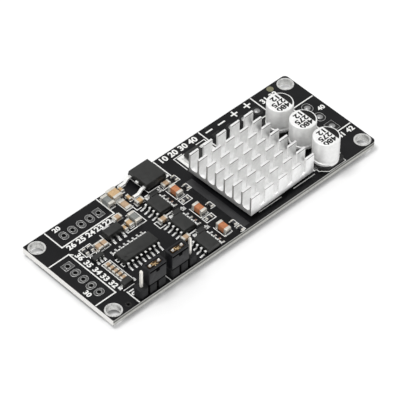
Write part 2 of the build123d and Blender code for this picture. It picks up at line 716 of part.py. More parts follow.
def build_nodes():
    nodes = {}
    terminals = []

    nodes["circuit_board"] = circuit_board()
    nodes["mounting_hole_plating"] = mounting_hole_plating()
    signal_pad = (SIGNAL_DRILL, SIGNAL_PAD_LONG, SIGNAL_PAD_WIDE)
    power_pad = (POWER_DRILL, POWER_PAD_LONG, POWER_PAD_WIDE)
    nodes["sensor_port_pads"] = port_pads(sensor_places(), signal_pad, ACROSS)
    nodes["control_port_pads"] = port_pads(control_places(), signal_pad, ALONG)
    nodes["motor_port_pads"] = port_pads(motor_places(), power_pad, ACROSS)
    nodes["supply_port_pads"] = port_pads(supply_places(), power_pad, ACROSS)
    nodes["port_solder"] = [solder_fill(place) for place in motor_places() + supply_places()]
    nodes["test_hole"] = plated_hole(test_hole_place(), TEST_HOLE_DRILL, Circle(TEST_HOLE_PAD / 2))

    for name, centre, side in (("left", LEFT_HEADER_X, 1), ("right", RIGHT_HEADER_X, -1)):
        nodes[f"{name}_header_base"] = header_base(centre)
        nodes[f"{name}_header_pins"] = [header_pin(place) for place in header_places(centre)]
        nodes[f"{name}_header_solder"] = [pin_solder(place) for place in header_places(centre)]
        nodes[f"{name}_shunt_housing"] = shunt_housing(centre, side)
        nodes[f"{name}_shunt_contact"] = shunt_contact(centre, side)

    nodes["heatsink"] = heatsink()
    nodes["thermal_tape"] = thermal_tape()

    frames = []
    for number, (x, y) in enumerate(transistor_places(), start=1):
        body, metal = place_package(power_transistor(), x, y, ALONG)
        nodes[f"power_transistor_{number}"] = body
        frames += metal
    nodes["power_transistor_leads"] = frames

    nodes["regulator_body"], nodes["regulator_leads"] = place_package(
        regulator(), REGULATOR_X, REGULATOR_Y, ALONG)
    nodes["reference_body"], nodes["reference_leads"] = place_package(
        reference_regulator(), REFERENCE_X, REFERENCE_Y, ALONG)
    nodes["logic_gate_body"], nodes["logic_gate_leads"] = place_package(logic_gate(), GATE_X, GATE_Y, ALONG)
    nodes["controller_body"], nodes["controller_leads"] = place_package(
        controller(), CONTROLLER_X, CONTROLLER_Y, ACROSS)

    for number, y in enumerate(row(DRIVER_COUNT, DRIVER_PITCH, DRIVER_Y), start=1):
        body, leads = place_package(so_package(DRIVER_LENGTH, DRIVER_SIDE_COUNT), DRIVER_X, y, ALONG)
        nodes[f"gate_driver_{number}_body"] = body
        nodes[f"gate_driver_{number}_leads"] = leads

    diode_leads = []
    diode_places = [(DIODE_X, y) for y in row(DRIVER_COUNT, DRIVER_PITCH, DIODE_Y)]
    for number, (x, y) in enumerate(diode_places + [(CORNER_DIODE_X, CORNER_DIODE_Y)], start=1):
        body, leads = place_package(diode(), x, y, ALONG)
        nodes[f"diode_{number}_body"] = body
        diode_leads += leads
    nodes["diode_leads"] = diode_leads

    leads = []
    for number, y in enumerate(row(CAN_COUNT, CAN_PITCH, CAN_Y), start=1):
        place = Pos(CAN_X, y, TOP)
        nodes[f"electrolytic_{number}_can"] = place * can()
        nodes[f"electrolytic_{number}_plinth"] = place * can_plinth()
        leads += [place * lead for lead in can_leads()]
    nodes["electrolytic_leads"] = leads

    snubbers = [(LONG_CHIP, SNUBBER_X, y, ACROSS) for y in row(DRIVER_COUNT, SNUBBER_PITCH, SNUBBER_Y)]
    filters = [(SMALL_CHIP, FILTER_X, y, ALONG) for y in row(FILTER_COUNT, FILTER_PITCH, FILTER_Y)]
    chip_groups = (
        ("snubber_capacitors", snubbers),
        ("ripple_capacitors", RIPPLE_CHIPS),
        ("bypass_capacitors", list(BYPASS_CHIPS) + filters),
        ("ferrite_beads", BEAD_CHIPS),
        ("chip_resistors", RESISTOR_CHIPS),
    )
    for name, chips in chip_groups:
        nodes[name] = []
        place_chips(chips, nodes[name], terminals)
    nodes["chip_terminals"] = terminals
    return nodes


def write_nodes(nodes):
    """Write one STEP file for each node."""
    os.makedirs("parts", exist_ok=True)
    for name, shape in nodes.items():
        if isinstance(shape, list):
            shape = Compound(children=[solid for piece in shape for solid in piece.solids()])
        export_step(shape, f"parts/{name}.step")
    print(len(nodes), "nodes written")


write_nodes(build_nodes())
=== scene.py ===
# %% [markdown]
# # A bare motor controller board
# The solids of the board arrive finished: laminate, packages, leads, cans and heat sink, each where it belongs.
# This script gives every surface its finish and adds what is too thin or too small for a solid model: the printed
# legend, the tinned lands, the solder, the print on the cans and the softened edges that catch the light.
# Everything is in metres, in the same frame as the solids.

# %% Load the solids
import json
from math import cos, pi, radians, sin

import bpy
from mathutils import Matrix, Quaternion, Vector


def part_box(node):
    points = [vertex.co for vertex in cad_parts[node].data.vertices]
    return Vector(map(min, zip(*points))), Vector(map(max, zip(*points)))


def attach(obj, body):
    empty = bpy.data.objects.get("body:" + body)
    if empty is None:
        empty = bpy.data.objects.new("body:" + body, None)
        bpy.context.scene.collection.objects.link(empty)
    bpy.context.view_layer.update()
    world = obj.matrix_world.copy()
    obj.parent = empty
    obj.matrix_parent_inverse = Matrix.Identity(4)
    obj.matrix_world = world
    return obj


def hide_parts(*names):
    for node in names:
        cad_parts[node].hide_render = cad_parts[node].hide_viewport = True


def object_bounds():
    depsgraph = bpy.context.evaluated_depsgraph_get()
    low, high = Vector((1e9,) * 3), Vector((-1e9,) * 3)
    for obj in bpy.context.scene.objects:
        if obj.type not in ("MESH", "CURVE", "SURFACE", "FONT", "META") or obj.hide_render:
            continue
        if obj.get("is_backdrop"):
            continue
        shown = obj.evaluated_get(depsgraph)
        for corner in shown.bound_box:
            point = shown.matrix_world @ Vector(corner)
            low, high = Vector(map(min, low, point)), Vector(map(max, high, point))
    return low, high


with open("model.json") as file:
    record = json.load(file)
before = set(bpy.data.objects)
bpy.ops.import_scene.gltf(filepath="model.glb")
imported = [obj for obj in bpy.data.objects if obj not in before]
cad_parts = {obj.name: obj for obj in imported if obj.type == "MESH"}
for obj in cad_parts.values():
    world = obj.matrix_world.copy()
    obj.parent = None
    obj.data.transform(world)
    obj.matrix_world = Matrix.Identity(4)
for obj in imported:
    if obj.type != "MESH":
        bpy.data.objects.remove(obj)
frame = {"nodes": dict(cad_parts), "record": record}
cad_low, cad_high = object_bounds()
nodes = frame["nodes"]
print("solids loaded:", len(nodes))

# %% [markdown]
# Places on the board are easiest to give as a board maker does: millimetres from one corner of the outline, and
# height above the face that carries the parts. One small function turns such a place into the frame's metres.

# %% Places on the board
MM = 0.001
board_low, board_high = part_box("circuit_board")
TOP = board_high.z
BOARD_LONG = (board_high.x - board_low.x) / MM
BOARD_WIDE = (board_high.y - board_low.y) / MM


def at(x, y, lift=0.0):
    """A point over the board, from millimetres along, across and above its face."""
    return Vector((board_low.x + x * MM, board_low.y + y * MM, TOP + lift * MM))


print("board:", round(BOARD_LONG, 2), "by", round(BOARD_WIDE, 2), "mm")

# %% [markdown]
# Most tools in Blender act on whatever is selected. Loading the solids leaves them all selected, so each step first
# lets go of everything and then picks only its own piece.

# %% Picking and finishing pieces


def pick(*pieces):
    """Select these pieces alone, with the first as the active one."""
    bpy.ops.object.select_all(action="DESELECT")
    for piece in pieces:
        piece.select_set(True)
    bpy.context.view_layer.objects.active = pieces[0]


def settle(piece):
    """Move a piece's place, turn and scale into its mesh, so that its object sits at the origin."""
    pick(piece)
    bpy.ops.object.transform_apply(location=True, rotation=True, scale=True)


def open_up(piece):
    """Go into edit mode with the whole of a piece selected."""
    pick(piece)
    bpy.ops.object.mode_set(mode="EDIT")
    bpy.ops.mesh.select_all(action="SELECT")


def new_block(size=(1, 1, 1), place=(0, 0, 0)):
    """A cube stretched to its size at its place: the start of a piece."""
    bpy.ops.object.select_all(action="DESELECT")
    bpy.ops.mesh.primitive_cube_add(size=1, location=place)
    block = bpy.context.object
    block.scale = size
    settle(block)
    return block


def join(pieces, name):
    """Make one piece of several."""
    pick(*pieces)
    bpy.ops.object.join()
    whole = bpy.context.object
    whole.name = name
    whole.data.name = name
    settle(whole)
    return whole


def coat(piece, finish):
    """Give a whole piece one finish."""
    piece.data.materials.clear()
    piece.data.materials.append(finish)


def hand_over(piece, slot, finish, *stands_for):
    """Finish a new piece: its coat, its body and the solids that it replaces. The slot is not used."""
    coat(piece, finish)
    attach(piece, "root")
    if stands_for:
        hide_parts(*stands_for)
    print(piece.name, "faces:", len(piece.data.polygons))


# %% [markdown]
# ## Camera
# A long lens looks down from half a metre above the table, over the board's near left corner. Its place, direction
# and slight roll were worked out from the board's corners and its rows of holes, so the render and the photograph
# line up.

# %% Camera
VIEW_PLACE = Vector((-0.3220, -0.33125, 0.47563))
VIEW_DIRECTION = Vector((0.48469, 0.49980, -0.71783))
VIEW_ROLL = radians(0.91)
VIEW_LENS = 268.6

camera_data = bpy.data.cameras.new("view")
camera_data.lens = VIEW_LENS
camera_data.sensor_width = 36.0
camera_data.clip_start = 0.01
camera_data.clip_end = 10.0
camera = bpy.data.objects.new("view", camera_data)
bpy.context.collection.objects.link(camera)
camera.location = VIEW_PLACE
camera.rotation_mode = "QUATERNION"
straight = VIEW_DIRECTION.to_track_quat("-Z", "Y")
camera.rotation_quaternion = straight @ Quaternion((0, 0, 1), VIEW_ROLL)
bpy.context.scene.camera = camera
bpy.context.scene.view_settings.view_transform = "Standard"
print("camera stands", round(VIEW_PLACE.length / MM), "mm away")

# %% [markdown]
# ## Light and floor
# A product shot on a white table: a soft lamp almost overhead, a very weak one for the near side, and a bright room.
# A lamp further to one side would throw a longer shadow than the real one. The floor is white paper. It adds a little
# light of its own for the camera and for reflections, so that it reads as pure white, and it still takes the short
# soft shadow along the board's near edge.

# %% Floor
FLOOR_SIDE = 4.0
FLOOR_LIFT = 0.06


def grey(level):
    """A neutral colour."""
    return (level, level, level)


def shader_of(finish):
    """The shader node of a finish."""
    return finish.node_tree.nodes["Principled BSDF"]


def new_finish(name, colour, roughness, metallic=0.0, specular=0.5):
    """A plain finish to build on."""
    finish = bpy.data.materials.new(name)
    finish.use_nodes = True
    shader = shader_of(finish)
    shader.inputs["Base Color"].default_value = (*colour, 1)
    shader.inputs["Roughness"].default_value = roughness
    shader.inputs["Metallic"].default_value = metallic
    shader.inputs["Specular IOR Level"].default_value = specular
    return finish


def calculate(finish, operation, *values):
    """The result of a math node whose inputs are sockets or numbers."""
    node = finish.node_tree.nodes.new("ShaderNodeMath")
    node.operation = operation
    for socket, value in zip(node.inputs, values):
        if isinstance(value, float):
            socket.default_value = value
        else:
            finish.node_tree.links.new(value, socket)
    return node.outputs[0]


def paper_finish():
    """White paper that keeps shadows and reads as white where it is lit."""
    paper = new_finish("white_paper", grey(0.9), 1.0, specular=0.0)
    rays = paper.node_tree.nodes.new("ShaderNodeLightPath").outputs
    mirrored = calculate(paper, "MAXIMUM", rays["Is Glossy Ray"], rays["Is Transmission Ray"])
    seen = calculate(paper, "MAXIMUM", rays["Is Camera Ray"], mirrored)
    lift = calculate(paper, "MULTIPLY", seen, FLOOR_LIFT)
    shader_of(paper).inputs["Emission Color"].default_value = (1, 1, 1, 1)
    paper.node_tree.links.new(lift, shader_of(paper).inputs["Emission Strength"])
    return paper


bpy.ops.object.select_all(action="DESELECT")
bpy.ops.mesh.primitive_plane_add(size=FLOOR_SIDE, location=(0, 0, cad_low[2]))
floor = bpy.context.object
floor.name = "floor"
settle(floor)
coat(floor, paper_finish())
floor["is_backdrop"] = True
print("floor at", round(cad_low[2] / MM, 2), "mm")

# %% Lamps and room
KEY_LAMP = {"place": (-0.28, 0.14, 0.97), "size": 0.30, "power": 4.3}
NEAR_LAMP = {"place": (-0.25, -0.65, 0.6), "size": 0.5, "power": 0.08}
ROOM_LEVEL = 0.76


def soft_lamp(name, place, size, power):
    """A square lamp that faces the board."""
    data = bpy.data.lights.new(name, "AREA")
    data.shape = "SQUARE"
    data.size = size
    data.energy = power
    lamp = bpy.data.objects.new(name, data)
    bpy.context.collection.objects.link(lamp)
    lamp.location = place
    lamp.rotation_mode = "QUATERNION"
    lamp.rotation_quaternion = (-Vector(place)).to_track_quat("-Z", "Y")
    return lamp


soft_lamp("key_lamp", **KEY_LAMP)
soft_lamp("near_lamp", **NEAR_LAMP)

room = bpy.data.worlds.new("room")
room.use_nodes = True
backdrop = room.node_tree.nodes["Background"]
backdrop.inputs["Color"].default_value = (1, 1, 1, 1)
backdrop.inputs["Strength"].default_value = ROOM_LEVEL
bpy.context.scene.world = room

# %% [markdown]
# ## Finishes
# Every finish starts from the same shader. What makes it look like tin, ceramic or moulding compound is how its
# colour, gloss and surface change from place to place. Small helpers add that change, driven by a noise that reads
# Object coordinates, so the size of a blotch or grain is a real size. One finish of this kind, mottled, then serves
# for most of the metals, plastics and ceramics, with other numbers for each.

# %% Helpers for finishes


def object_place(finish, stretch=(1, 1, 1)):
    """Object coordinates, stretched where a pattern runs one way."""
    tree = finish.node_tree
    place = tree.nodes.new("ShaderNodeTexCoord")
    mapping = tree.nodes.new("ShaderNodeMapping")
    mapping.inputs["Scale"].default_value = stretch
    tree.links.new(place.outputs["Object"], mapping.inputs["Vector"])
    return mapping.outputs["Vector"]


def noise(finish, size, detail=3.0, stretch=(1, 1, 1)):
    """A cloudy value from 0 to 1 whose blobs are about one size, in millimetres."""
    tree = finish.node_tree
    cloud = tree.nodes.new("ShaderNodeTexNoise")
    cloud.inputs["Scale"].default_value = 1 / (size * MM)
    cloud.inputs["Detail"].default_value = detail
    tree.links.new(object_place(finish, stretch), cloud.inputs["Vector"])
    return cloud.outputs["Fac"]


def spread(finish, value, low, high, start=0.3, end=0.7):
    """Map a value's middle range to another range."""
    tree = finish.node_tree
    remap = tree.nodes.new("ShaderNodeMapRange")
    remap.inputs["From Min"].default_value = start
    remap.inputs["From Max"].default_value = end
    remap.inputs["To Min"].default_value = low
    remap.inputs["To Max"].default_value = high
    tree.links.new(value, remap.inputs["Value"])
    return remap.outputs["Result"]


def blend_colours(finish, amount, first, second):
    """One colour where the amount is 0 and another where it is 1; either may be a socket."""
    tree = finish.node_tree
    mix = tree.nodes.new("ShaderNodeMix")
    mix.data_type = "RGBA"
    tree.links.new(amount, mix.inputs["Factor"])
    for socket, colour in ((mix.inputs[6], first), (mix.inputs[7], second)):
        if isinstance(colour, tuple):
            socket.default_value = (*colour, 1)
        else:
            tree.links.new(colour, socket)
    return mix.outputs[2]


def set_colour(finish, colour):
    """Let a socket give the colour."""
    finish.node_tree.links.new(colour, shader_of(finish).inputs["Base Color"])


def set_roughness(finish, value):
    """Let a socket give the roughness."""
    finish.node_tree.links.new(value, shader_of(finish).inputs["Roughness"])


def set_relief(finish, value, height):
    """Let a value stand out of the surface, by a height in millimetres."""
    tree = finish.node_tree
    bump = tree.nodes.new("ShaderNodeBump")
    bump.inputs["Strength"].default_value = 1.0
    bump.inputs["Distance"].default_value = height * MM
    tree.links.new(value, bump.inputs["Height"])
    tree.links.new(bump.outputs["Normal"], shader_of(finish).inputs["Normal"])


def mottled(name, dark, light, size, roughness, metallic=0.0, specular=0.5, relief=0.0, grain=0.1):
    """A finish whose colour and gloss drift in blotches of one size, with a fine grain; sizes in millimetres."""
    finish = new_finish(name, light, sum(roughness) / 2, metallic, specular)
    drift = noise(finish, size)
    set_colour(finish, blend_colours(finish, spread(finish, drift, 0, 1), dark, light))
    set_roughness(finish, spread(finish, drift, *roughness))
    if relief:
        set_relief(finish, noise(finish, grain, 2.0), relief)
    return finish


# %% [markdown]
# The laminate is a sandwich. Its faces carry a glossy black mask. The two long edges were routed, and there the
# plies show: a pale line under the mask, a dull core and pale resin below. The short end faces show pale fibre with
# no plies, painted near-white as a painted highlight where the lamp and the white floor light them. One finish does
# it all, by the height of a point and the way its face looks: a face whose normal stays within SIDEWAYS of an axis
# does not look along that axis.

# %% Board finish
MASK_SKIN = 0.035
MASK_BLACK = (0.0035, 0.0035, 0.0042)
MASK_SHEEN = (0.0075, 0.0075, 0.0085)
END_HIGHLIGHT_PALE = (0.90, 0.89, 0.87)
END_HIGHLIGHT_DULL = (0.76, 0.75, 0.72)
RESIN_PALE = (0.60, 0.60, 0.575)
RESIN_DULL = (0.46, 0.46, 0.435)
CORE_PALE = (0.22, 0.22, 0.205)
CORE_DULL = (0.15, 0.15, 0.14)
CORE_LOW = 0.78
CORE_HIGH = 1.34
SIDEWAYS = 0.7
SHEEN_BLOTCH = 6.0
FIBRE_SIZE = 0.6
FIBRE_STRETCH = (1, 1, 5)
MASK_GRAIN = 0.35
MASK_RELIEF = 0.004
MASK_ROUGH = 0.34
EDGE_ROUGH = 0.75


def within(finish, value, low, high):
    """1 where a value lies between two bounds and 0 elsewhere."""
    above = calculate(finish, "GREATER_THAN", value, low)
    return calculate(finish, "MULTIPLY", above, calculate(finish, "LESS_THAN", value, high))


def axis_of(finish, vector, axis):
    """One number of a vector."""
    split = finish.node_tree.nodes.new("ShaderNodeSeparateXYZ")
    finish.node_tree.links.new(vector, split.inputs["Vector"])
    return split.outputs[axis]


def board_finish():
    """Black mask on the faces, plies on the long edges, and pale fibre painted near-white as a painted highlight on
    the short ends.
    """
    finish = new_finish("masked_laminate", MASK_BLACK, MASK_ROUGH, specular=0.18)
    facing = finish.node_tree.nodes.new("ShaderNodeNewGeometry").outputs["Normal"]
    height = axis_of(finish, object_place(finish), "Z")
    edge = within(finish, height, board_low.z + MASK_SKIN * MM, TOP - MASK_SKIN * MM)
    core = within(finish, height, board_low.z + CORE_LOW * MM, board_low.z + CORE_HIGH * MM)
    long_sides = within(finish, axis_of(finish, facing, "X"), -SIDEWAYS, SIDEWAYS)
    sheen = spread(finish, noise(finish, SHEEN_BLOTCH, 4.0), 0, 1)
    fibres = spread(finish, noise(finish, FIBRE_SIZE, 3.0, FIBRE_STRETCH), 0, 1)
    mask = blend_colours(finish, sheen, MASK_BLACK, MASK_SHEEN)
    resin = blend_colours(finish, fibres, RESIN_DULL, RESIN_PALE)
    middle = blend_colours(finish, fibres, CORE_DULL, CORE_PALE)
    plies = blend_colours(finish, core, resin, middle)
    # painted highlight: the short end faces are pale fibre painted near-white
    end_highlight = blend_colours(finish, fibres, END_HIGHLIGHT_DULL, END_HIGHLIGHT_PALE)
    laminate = blend_colours(finish, long_sides, end_highlight, plies)
    set_colour(finish, blend_colours(finish, edge, mask, laminate))
    set_roughness(finish, spread(finish, edge, MASK_ROUGH, EDGE_ROUGH, 0, 1))
    set_relief(finish, noise(finish, MASK_GRAIN, 2.0), MASK_RELIEF)
    return finish


BOARD = board_finish()
print("finish:", BOARD.name)

# %% [markdown]
# Metals: dull tin on the plated holes, bright solder on the lands, tin on the leads, pale gold on the header pins and
# gold on the springs in the jumpers, painted nearly black there as painted shade. The bright rims round the pads are
# painted highlights. Tin that lies flat is a true metal and mirrors the room. The bright caps on the bends of the
# leads, which are painted highlights, the chip ends and the header pins are satin, so they are only part metal and
# keep their paleness where there is nothing bright to mirror.

# %% Metal finishes
TIN = mottled("dull_tin", grey(0.085), grey(0.16), size=0.5, roughness=(0.3, 0.5), metallic=1.0, relief=0.01)
RING_TIN = mottled(
    "ring_tin", (0.56, 0.56, 0.55), (0.86, 0.86, 0.84),
    size=0.8, roughness=(0.24, 0.38), metallic=0.85, relief=0.008)
# painted highlight: bright tin for the rims round the pads
RIM_HIGHLIGHT_TIN = mottled(
    "rim_highlight_tin", grey(0.42), (0.66, 0.66, 0.65),
    size=0.5, roughness=(0.3, 0.45), metallic=1.0, relief=0.006)
HOLE_TIN = mottled("hole_tin", grey(0.025), grey(0.06), size=0.4, roughness=(0.35, 0.5), metallic=1.0, relief=0.006)
SOLDER = mottled(
    "bright_solder", (0.74, 0.74, 0.73), (0.93, 0.93, 0.92),
    size=0.4, roughness=(0.16, 0.3), metallic=1.0, relief=0.006, grain=0.5)
FILL_SOLDER = mottled(
    "port_filling", grey(0.24), grey(0.42),
    size=0.6, roughness=(0.34, 0.5), metallic=0.8, relief=0.008)
LEAD_TIN = mottled(
    "lead_tin", (0.78, 0.78, 0.76), (0.92, 0.92, 0.9),
    size=0.4, roughness=(0.18, 0.28), metallic=1.0, relief=0.004)
BEND_TIN = mottled(
    "bend_tin", (0.84, 0.84, 0.82), (0.95, 0.95, 0.93),
    size=0.3, roughness=(0.3, 0.42), metallic=0.25, relief=0.002)
END_TIN = mottled(
    "terminal_tin", (0.62, 0.595, 0.54), (0.8, 0.775, 0.71),
    size=0.3, roughness=(0.34, 0.46), metallic=0.6, relief=0.004)
PIN_GOLD = mottled(
    "pin_gold", (0.95, 0.91, 0.84), (0.99, 0.97, 0.93),
    size=0.9, roughness=(0.38, 0.46), metallic=0.45, relief=0.001)
# painted shade: the gold contacts inside the jumpers, painted nearly black
SHADED_SPRING_GOLD = mottled(
    "shaded_spring_gold", (0.03, 0.018, 0.008), (0.13, 0.07, 0.028),
    size=0.6, roughness=(0.25, 0.4), metallic=1.0, relief=0.004)
LEAF_GOLD = mottled(
    "leaf_gold", (0.42, 0.25, 0.1), (0.8, 0.62, 0.38),
    size=0.5, roughness=(0.25, 0.4), metallic=0.9, relief=0.004)
print("metals ready")

# %% [markdown]
# The heat sink is bare aluminium that was etched after sawing: almost white, with hardly any mirror in it, and with
# faint drawing lines along the fins. The sawn faces are painted greyer, a painted reflection of the dark board, most
# of all on the two end rows, and a painted shadow line runs just under the tips. The cans are drawn aluminium with a
# satin side.

# %% Aluminium finishes
TIP_SHADOW_LOW = 0.32
TIP_SHADOW_HIGH = 0.10
TIP_SHADOW_DARK = (0.20, 0.20, 0.19)
END_ROW = 1.5
END_ROW_REFLECTION_DARK = (0.38, 0.38, 0.375)
END_ROW_REFLECTION_LIGHT = (0.58, 0.58, 0.575)
INNER_DARK = (0.76, 0.76, 0.755)
INNER_LIGHT = (0.94, 0.94, 0.935)
SAW_MARKS = 0.3
SINK_GRAIN = 0.22
SINK_STRETCH = (0.3, 1, 0.5)
SINK_RELIEF = 0.014


def etched_aluminium():
    """Bright drawn faces, sawn faces painted duller as a painted reflection, darkest on the end rows, and a painted
    shadow line just under the tip of every pin.
    """
    finish = mottled(
        "etched_aluminium", (0.86, 0.86, 0.855), (0.97, 0.97, 0.965), size=0.9, roughness=(0.3, 0.42), metallic=0.55)
    near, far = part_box("heatsink")
    tip = far.z
    place = object_place(finish)
    height = axis_of(finish, place, "Z")
    inner = within(finish, axis_of(finish, place, "X"), near.x + END_ROW * MM, far.x - END_ROW * MM)
    facing = finish.node_tree.nodes.new("ShaderNodeNewGeometry").outputs["Normal"]
    # painted shadow: a dark line just under the tips, on the faces that face along Y
    tip_shadow = within(finish, height, tip - TIP_SHADOW_LOW * MM, tip - TIP_SHADOW_HIGH * MM)
    broad = within(finish, axis_of(finish, facing, "X"), -SIDEWAYS, SIDEWAYS)
    ends = within(finish, axis_of(finish, facing, "Y"), -SIDEWAYS, SIDEWAYS)
    drawn = shader_of(finish).inputs["Base Color"].links[0].from_socket
    marks = spread(finish, noise(finish, SAW_MARKS), 0, 1)
    # painted reflection: the sawn faces are darker, darkest on the two end rows
    end_row_reflection = blend_colours(finish, marks, END_ROW_REFLECTION_DARK, END_ROW_REFLECTION_LIGHT)
    inner_rows = blend_colours(finish, marks, INNER_DARK, INNER_LIGHT)
    sawn_reflection = blend_colours(finish, inner, end_row_reflection, inner_rows)
    metal = blend_colours(finish, broad, sawn_reflection, drawn)
    tip_shadowed = blend_colours(finish, ends, TIP_SHADOW_DARK, metal)
    set_colour(finish, blend_colours(finish, tip_shadow, metal, tip_shadowed))
    set_relief(finish, noise(finish, SINK_GRAIN, 3.0, SINK_STRETCH), SINK_RELIEF)
    return finish


SINK = etched_aluminium()
CAN = mottled(
    "drawn_aluminium", (0.86, 0.86, 0.85), (0.95, 0.95, 0.94),
    size=0.8, roughness=(0.36, 0.48), metallic=0.3, relief=0.002, grain=0.25)
print("aluminium:", SINK.name, CAN.name)

# %% [markdown]
# Plastics and ceramics. Moulding compound is a charcoal grey with a fine sandy skin. Header and jumper mouldings are
# blacker and smoother. The chip capacitors are fired ceramic in brown, tan and beige, and the beads are grey.

# %% Plastic and ceramic finishes
COMPOUND = mottled(
    "mould_compound", (0.0065, 0.007, 0.0062), (0.015, 0.0155, 0.014),
    size=0.9, roughness=(0.42, 0.55), specular=0.5, relief=0.008, grain=0.06)
HEADER = mottled(
    "header_plastic", (0.0045, 0.0045, 0.0055), (0.0085, 0.0085, 0.01),
    size=0.8, roughness=(0.6, 0.72), specular=0.32, relief=0.006)
SHUNT = mottled(
    "jumper_plastic", (0.0045, 0.0045, 0.006), (0.009, 0.009, 0.011),
    size=1.1, roughness=(0.4, 0.52), specular=0.33, relief=0.006)
PLINTH = mottled(
    "plinth_plastic", grey(0.01), grey(0.018),
    size=0.8, roughness=(0.45, 0.6), specular=0.35, relief=0.006)
FIRED = {"roughness": (0.42, 0.6), "relief": 0.008}
BROWN = mottled("brown_ceramic", (0.38, 0.132, 0.048), (0.54, 0.205, 0.085), size=0.5, **FIRED)
TAN = mottled("tan_ceramic", (0.48, 0.315, 0.155), (0.64, 0.44, 0.24), size=0.4, **FIRED)
BEIGE = mottled("beige_ceramic", (0.4, 0.27, 0.165), (0.53, 0.375, 0.24), size=0.4, **FIRED)
GREY = mottled("grey_ceramic", (0.17, 0.18, 0.17), (0.25, 0.26, 0.25), size=0.5, roughness=(0.45, 0.6), relief=0.008)
GLAZE = mottled(
    "resistor_glaze", (0.022, 0.022, 0.025), (0.048, 0.048, 0.052),
    size=0.3, roughness=(0.25, 0.4), specular=0.4, relief=0.004)
TAPE = mottled("adhesive_film", grey(0.2), grey(0.28), size=0.8, roughness=(0.6, 0.8), relief=0.006)
print("plastics and ceramics ready")

# %% [markdown]
# Each solid comes with the name of its material slot. A table from slots to finishes covers all of them, and a few
# plated and filled holes then get a finish of their own.

# %% Coat the solids
FINISH_BY_SLOT = {
    "solder_mask": BOARD,
    "tinned_copper": TIN,
    "solder": SOLDER,
    "tinned_lead": LEAD_TIN,
    "header_plastic": HEADER,
    "gold_pin": PIN_GOLD,
    "contact_sheet": SHADED_SPRING_GOLD,
    "shunt_plastic": SHUNT,
    "sink_aluminium": SINK,
    "thermal_tape": TAPE,
    "mould_compound": COMPOUND,
    "can_aluminium": CAN,
    "plinth_plastic": PLINTH,
    "ceramic_orange": BROWN,
    "ceramic_tan": TAN,
    "ceramic_beige": BEIGE,
    "ceramic_grey": GREY,
    "resistor_glaze": GLAZE,
}
slot_of = {part["node"]: part["material_slot"] for part in frame["record"]["subparts"]}
for name, node in nodes.items():
    coat(node, FINISH_BY_SLOT[slot_of[name]])
coat(nodes["mounting_hole_plating"], RING_TIN)
coat(nodes["port_solder"], FILL_SOLDER)
for name in ("test_hole", "motor_port_pads", "supply_port_pads"):
    coat(nodes[name], HOLE_TIN)
print("coated:", len(nodes))

# %% [markdown]
# ## Reading the solids
# Lands, solder and rounded edges have to sit exactly where the solids are. One helper copies a solid's mesh, with the
# seams between its faces closed, and another gives the box of every loose part in a node. A third cleans a new mesh:
# rounding can leave faces with no area, and two parts that touch can share a face between them.

# %% Copies and boxes of the solids
SEAM = 1e-7
FLAT = radians(0.6)


def merged(name, source):
    """A new object with a closed copy of a solid's mesh."""
    piece = bpy.data.objects.new(name, nodes[source].data.copy())
    bpy.context.collection.objects.link(piece)
    open_up(piece)
    bpy.ops.mesh.remove_doubles(threshold=SEAM)
    bpy.ops.mesh.dissolve_limited(angle_limit=FLAT)
    bpy.ops.object.mode_set(mode="OBJECT")
    bpy.ops.mesh.customdata_custom_splitnormals_clear()
    return piece


def clean(piece, seam=SEAM):
    """Close the seams of a new piece, drop faces inside it or with no area and turn the rest outwards."""
    open_up(piece)
    bpy.ops.mesh.remove_doubles(threshold=seam)
    bpy.ops.mesh.dissolve_degenerate(threshold=SEAM)
    bpy.ops.mesh.select_all(action="DESELECT")
    bpy.ops.mesh.select_interior_faces()
    bpy.ops.mesh.delete(type="FACE")
    bpy.ops.mesh.select_all(action="SELECT")
    bpy.ops.mesh.normals_make_consistent(inside=False)
    bpy.ops.object.mode_set(mode="OBJECT")


def corners_of(piece):
    """The lowest and highest corner of a mesh."""
    spots = [corner.co for corner in piece.data.vertices]
    return tuple(Vector([pick_one(spot[axis] for spot in spots) for axis in range(3)]) for pick_one in (min, max))


def loose_boxes(source):
    """The lowest and highest corner of each loose part of a node."""
    merged("spare", source)
    bpy.ops.object.mode_set(mode="EDIT")
    bpy.ops.mesh.separate(type="LOOSE")
    bpy.ops.object.mode_set(mode="OBJECT")
    parts = list(bpy.context.selected_objects)
    boxes = [corners_of(part) for part in parts]
    for part in parts:
        bpy.data.objects.remove(part)
    return boxes


def middles(*sources):
    """The middle of every loose part of these nodes."""
    return [(low + high) / 2 for source in sources for low, high in loose_boxes(source)]


print("leads on the controller:", len(loose_boxes("controller_leads")))

# %% [markdown]
# ## Softened edges
# A real edge is never perfectly sharp, and the thin line of light along it is what makes a small part look real.
# These solids get a rounded copy that stands in for them: fins, packages, chips and their ends, plinths, jumpers and
# the regulator's leads. A few sides are moved a little in that copy, where the photograph shows them further in or
# out. A nudge picks its corners by shares of the piece's size: 0 is its low side and 1 its high side.

# %% Rounded edges


def round_edges(piece, radius, steps=1, smooth=None, limit=30):
    """Round a piece's edges by a radius in millimetres; smooth shades, and limit rounds, past an angle in degrees."""
    pick(piece)
    rounding = piece.modifiers.new("rounding", "BEVEL")
    rounding.width = radius * MM
    rounding.segments = steps
    rounding.limit_method = "ANGLE"
    rounding.angle_limit = radians(limit)
    bpy.ops.object.modifier_apply(modifier="rounding")
    if smooth:
        bpy.ops.object.shade_smooth_by_angle(angle=radians(smooth))


# %% Nudges
ALL = (-0.1, 1.1)
LOW_SIDE = (-0.1, 0.3)
HIGH_SIDE = (0.7, 1.1)
UPPER = (0.5, 1.1)
FACE = (0.8, 1.1)


def share_box(x=ALL, y=ALL, z=ALL):
    """The low and high corner of a box of shares."""
    return tuple(zip(x, y, z))


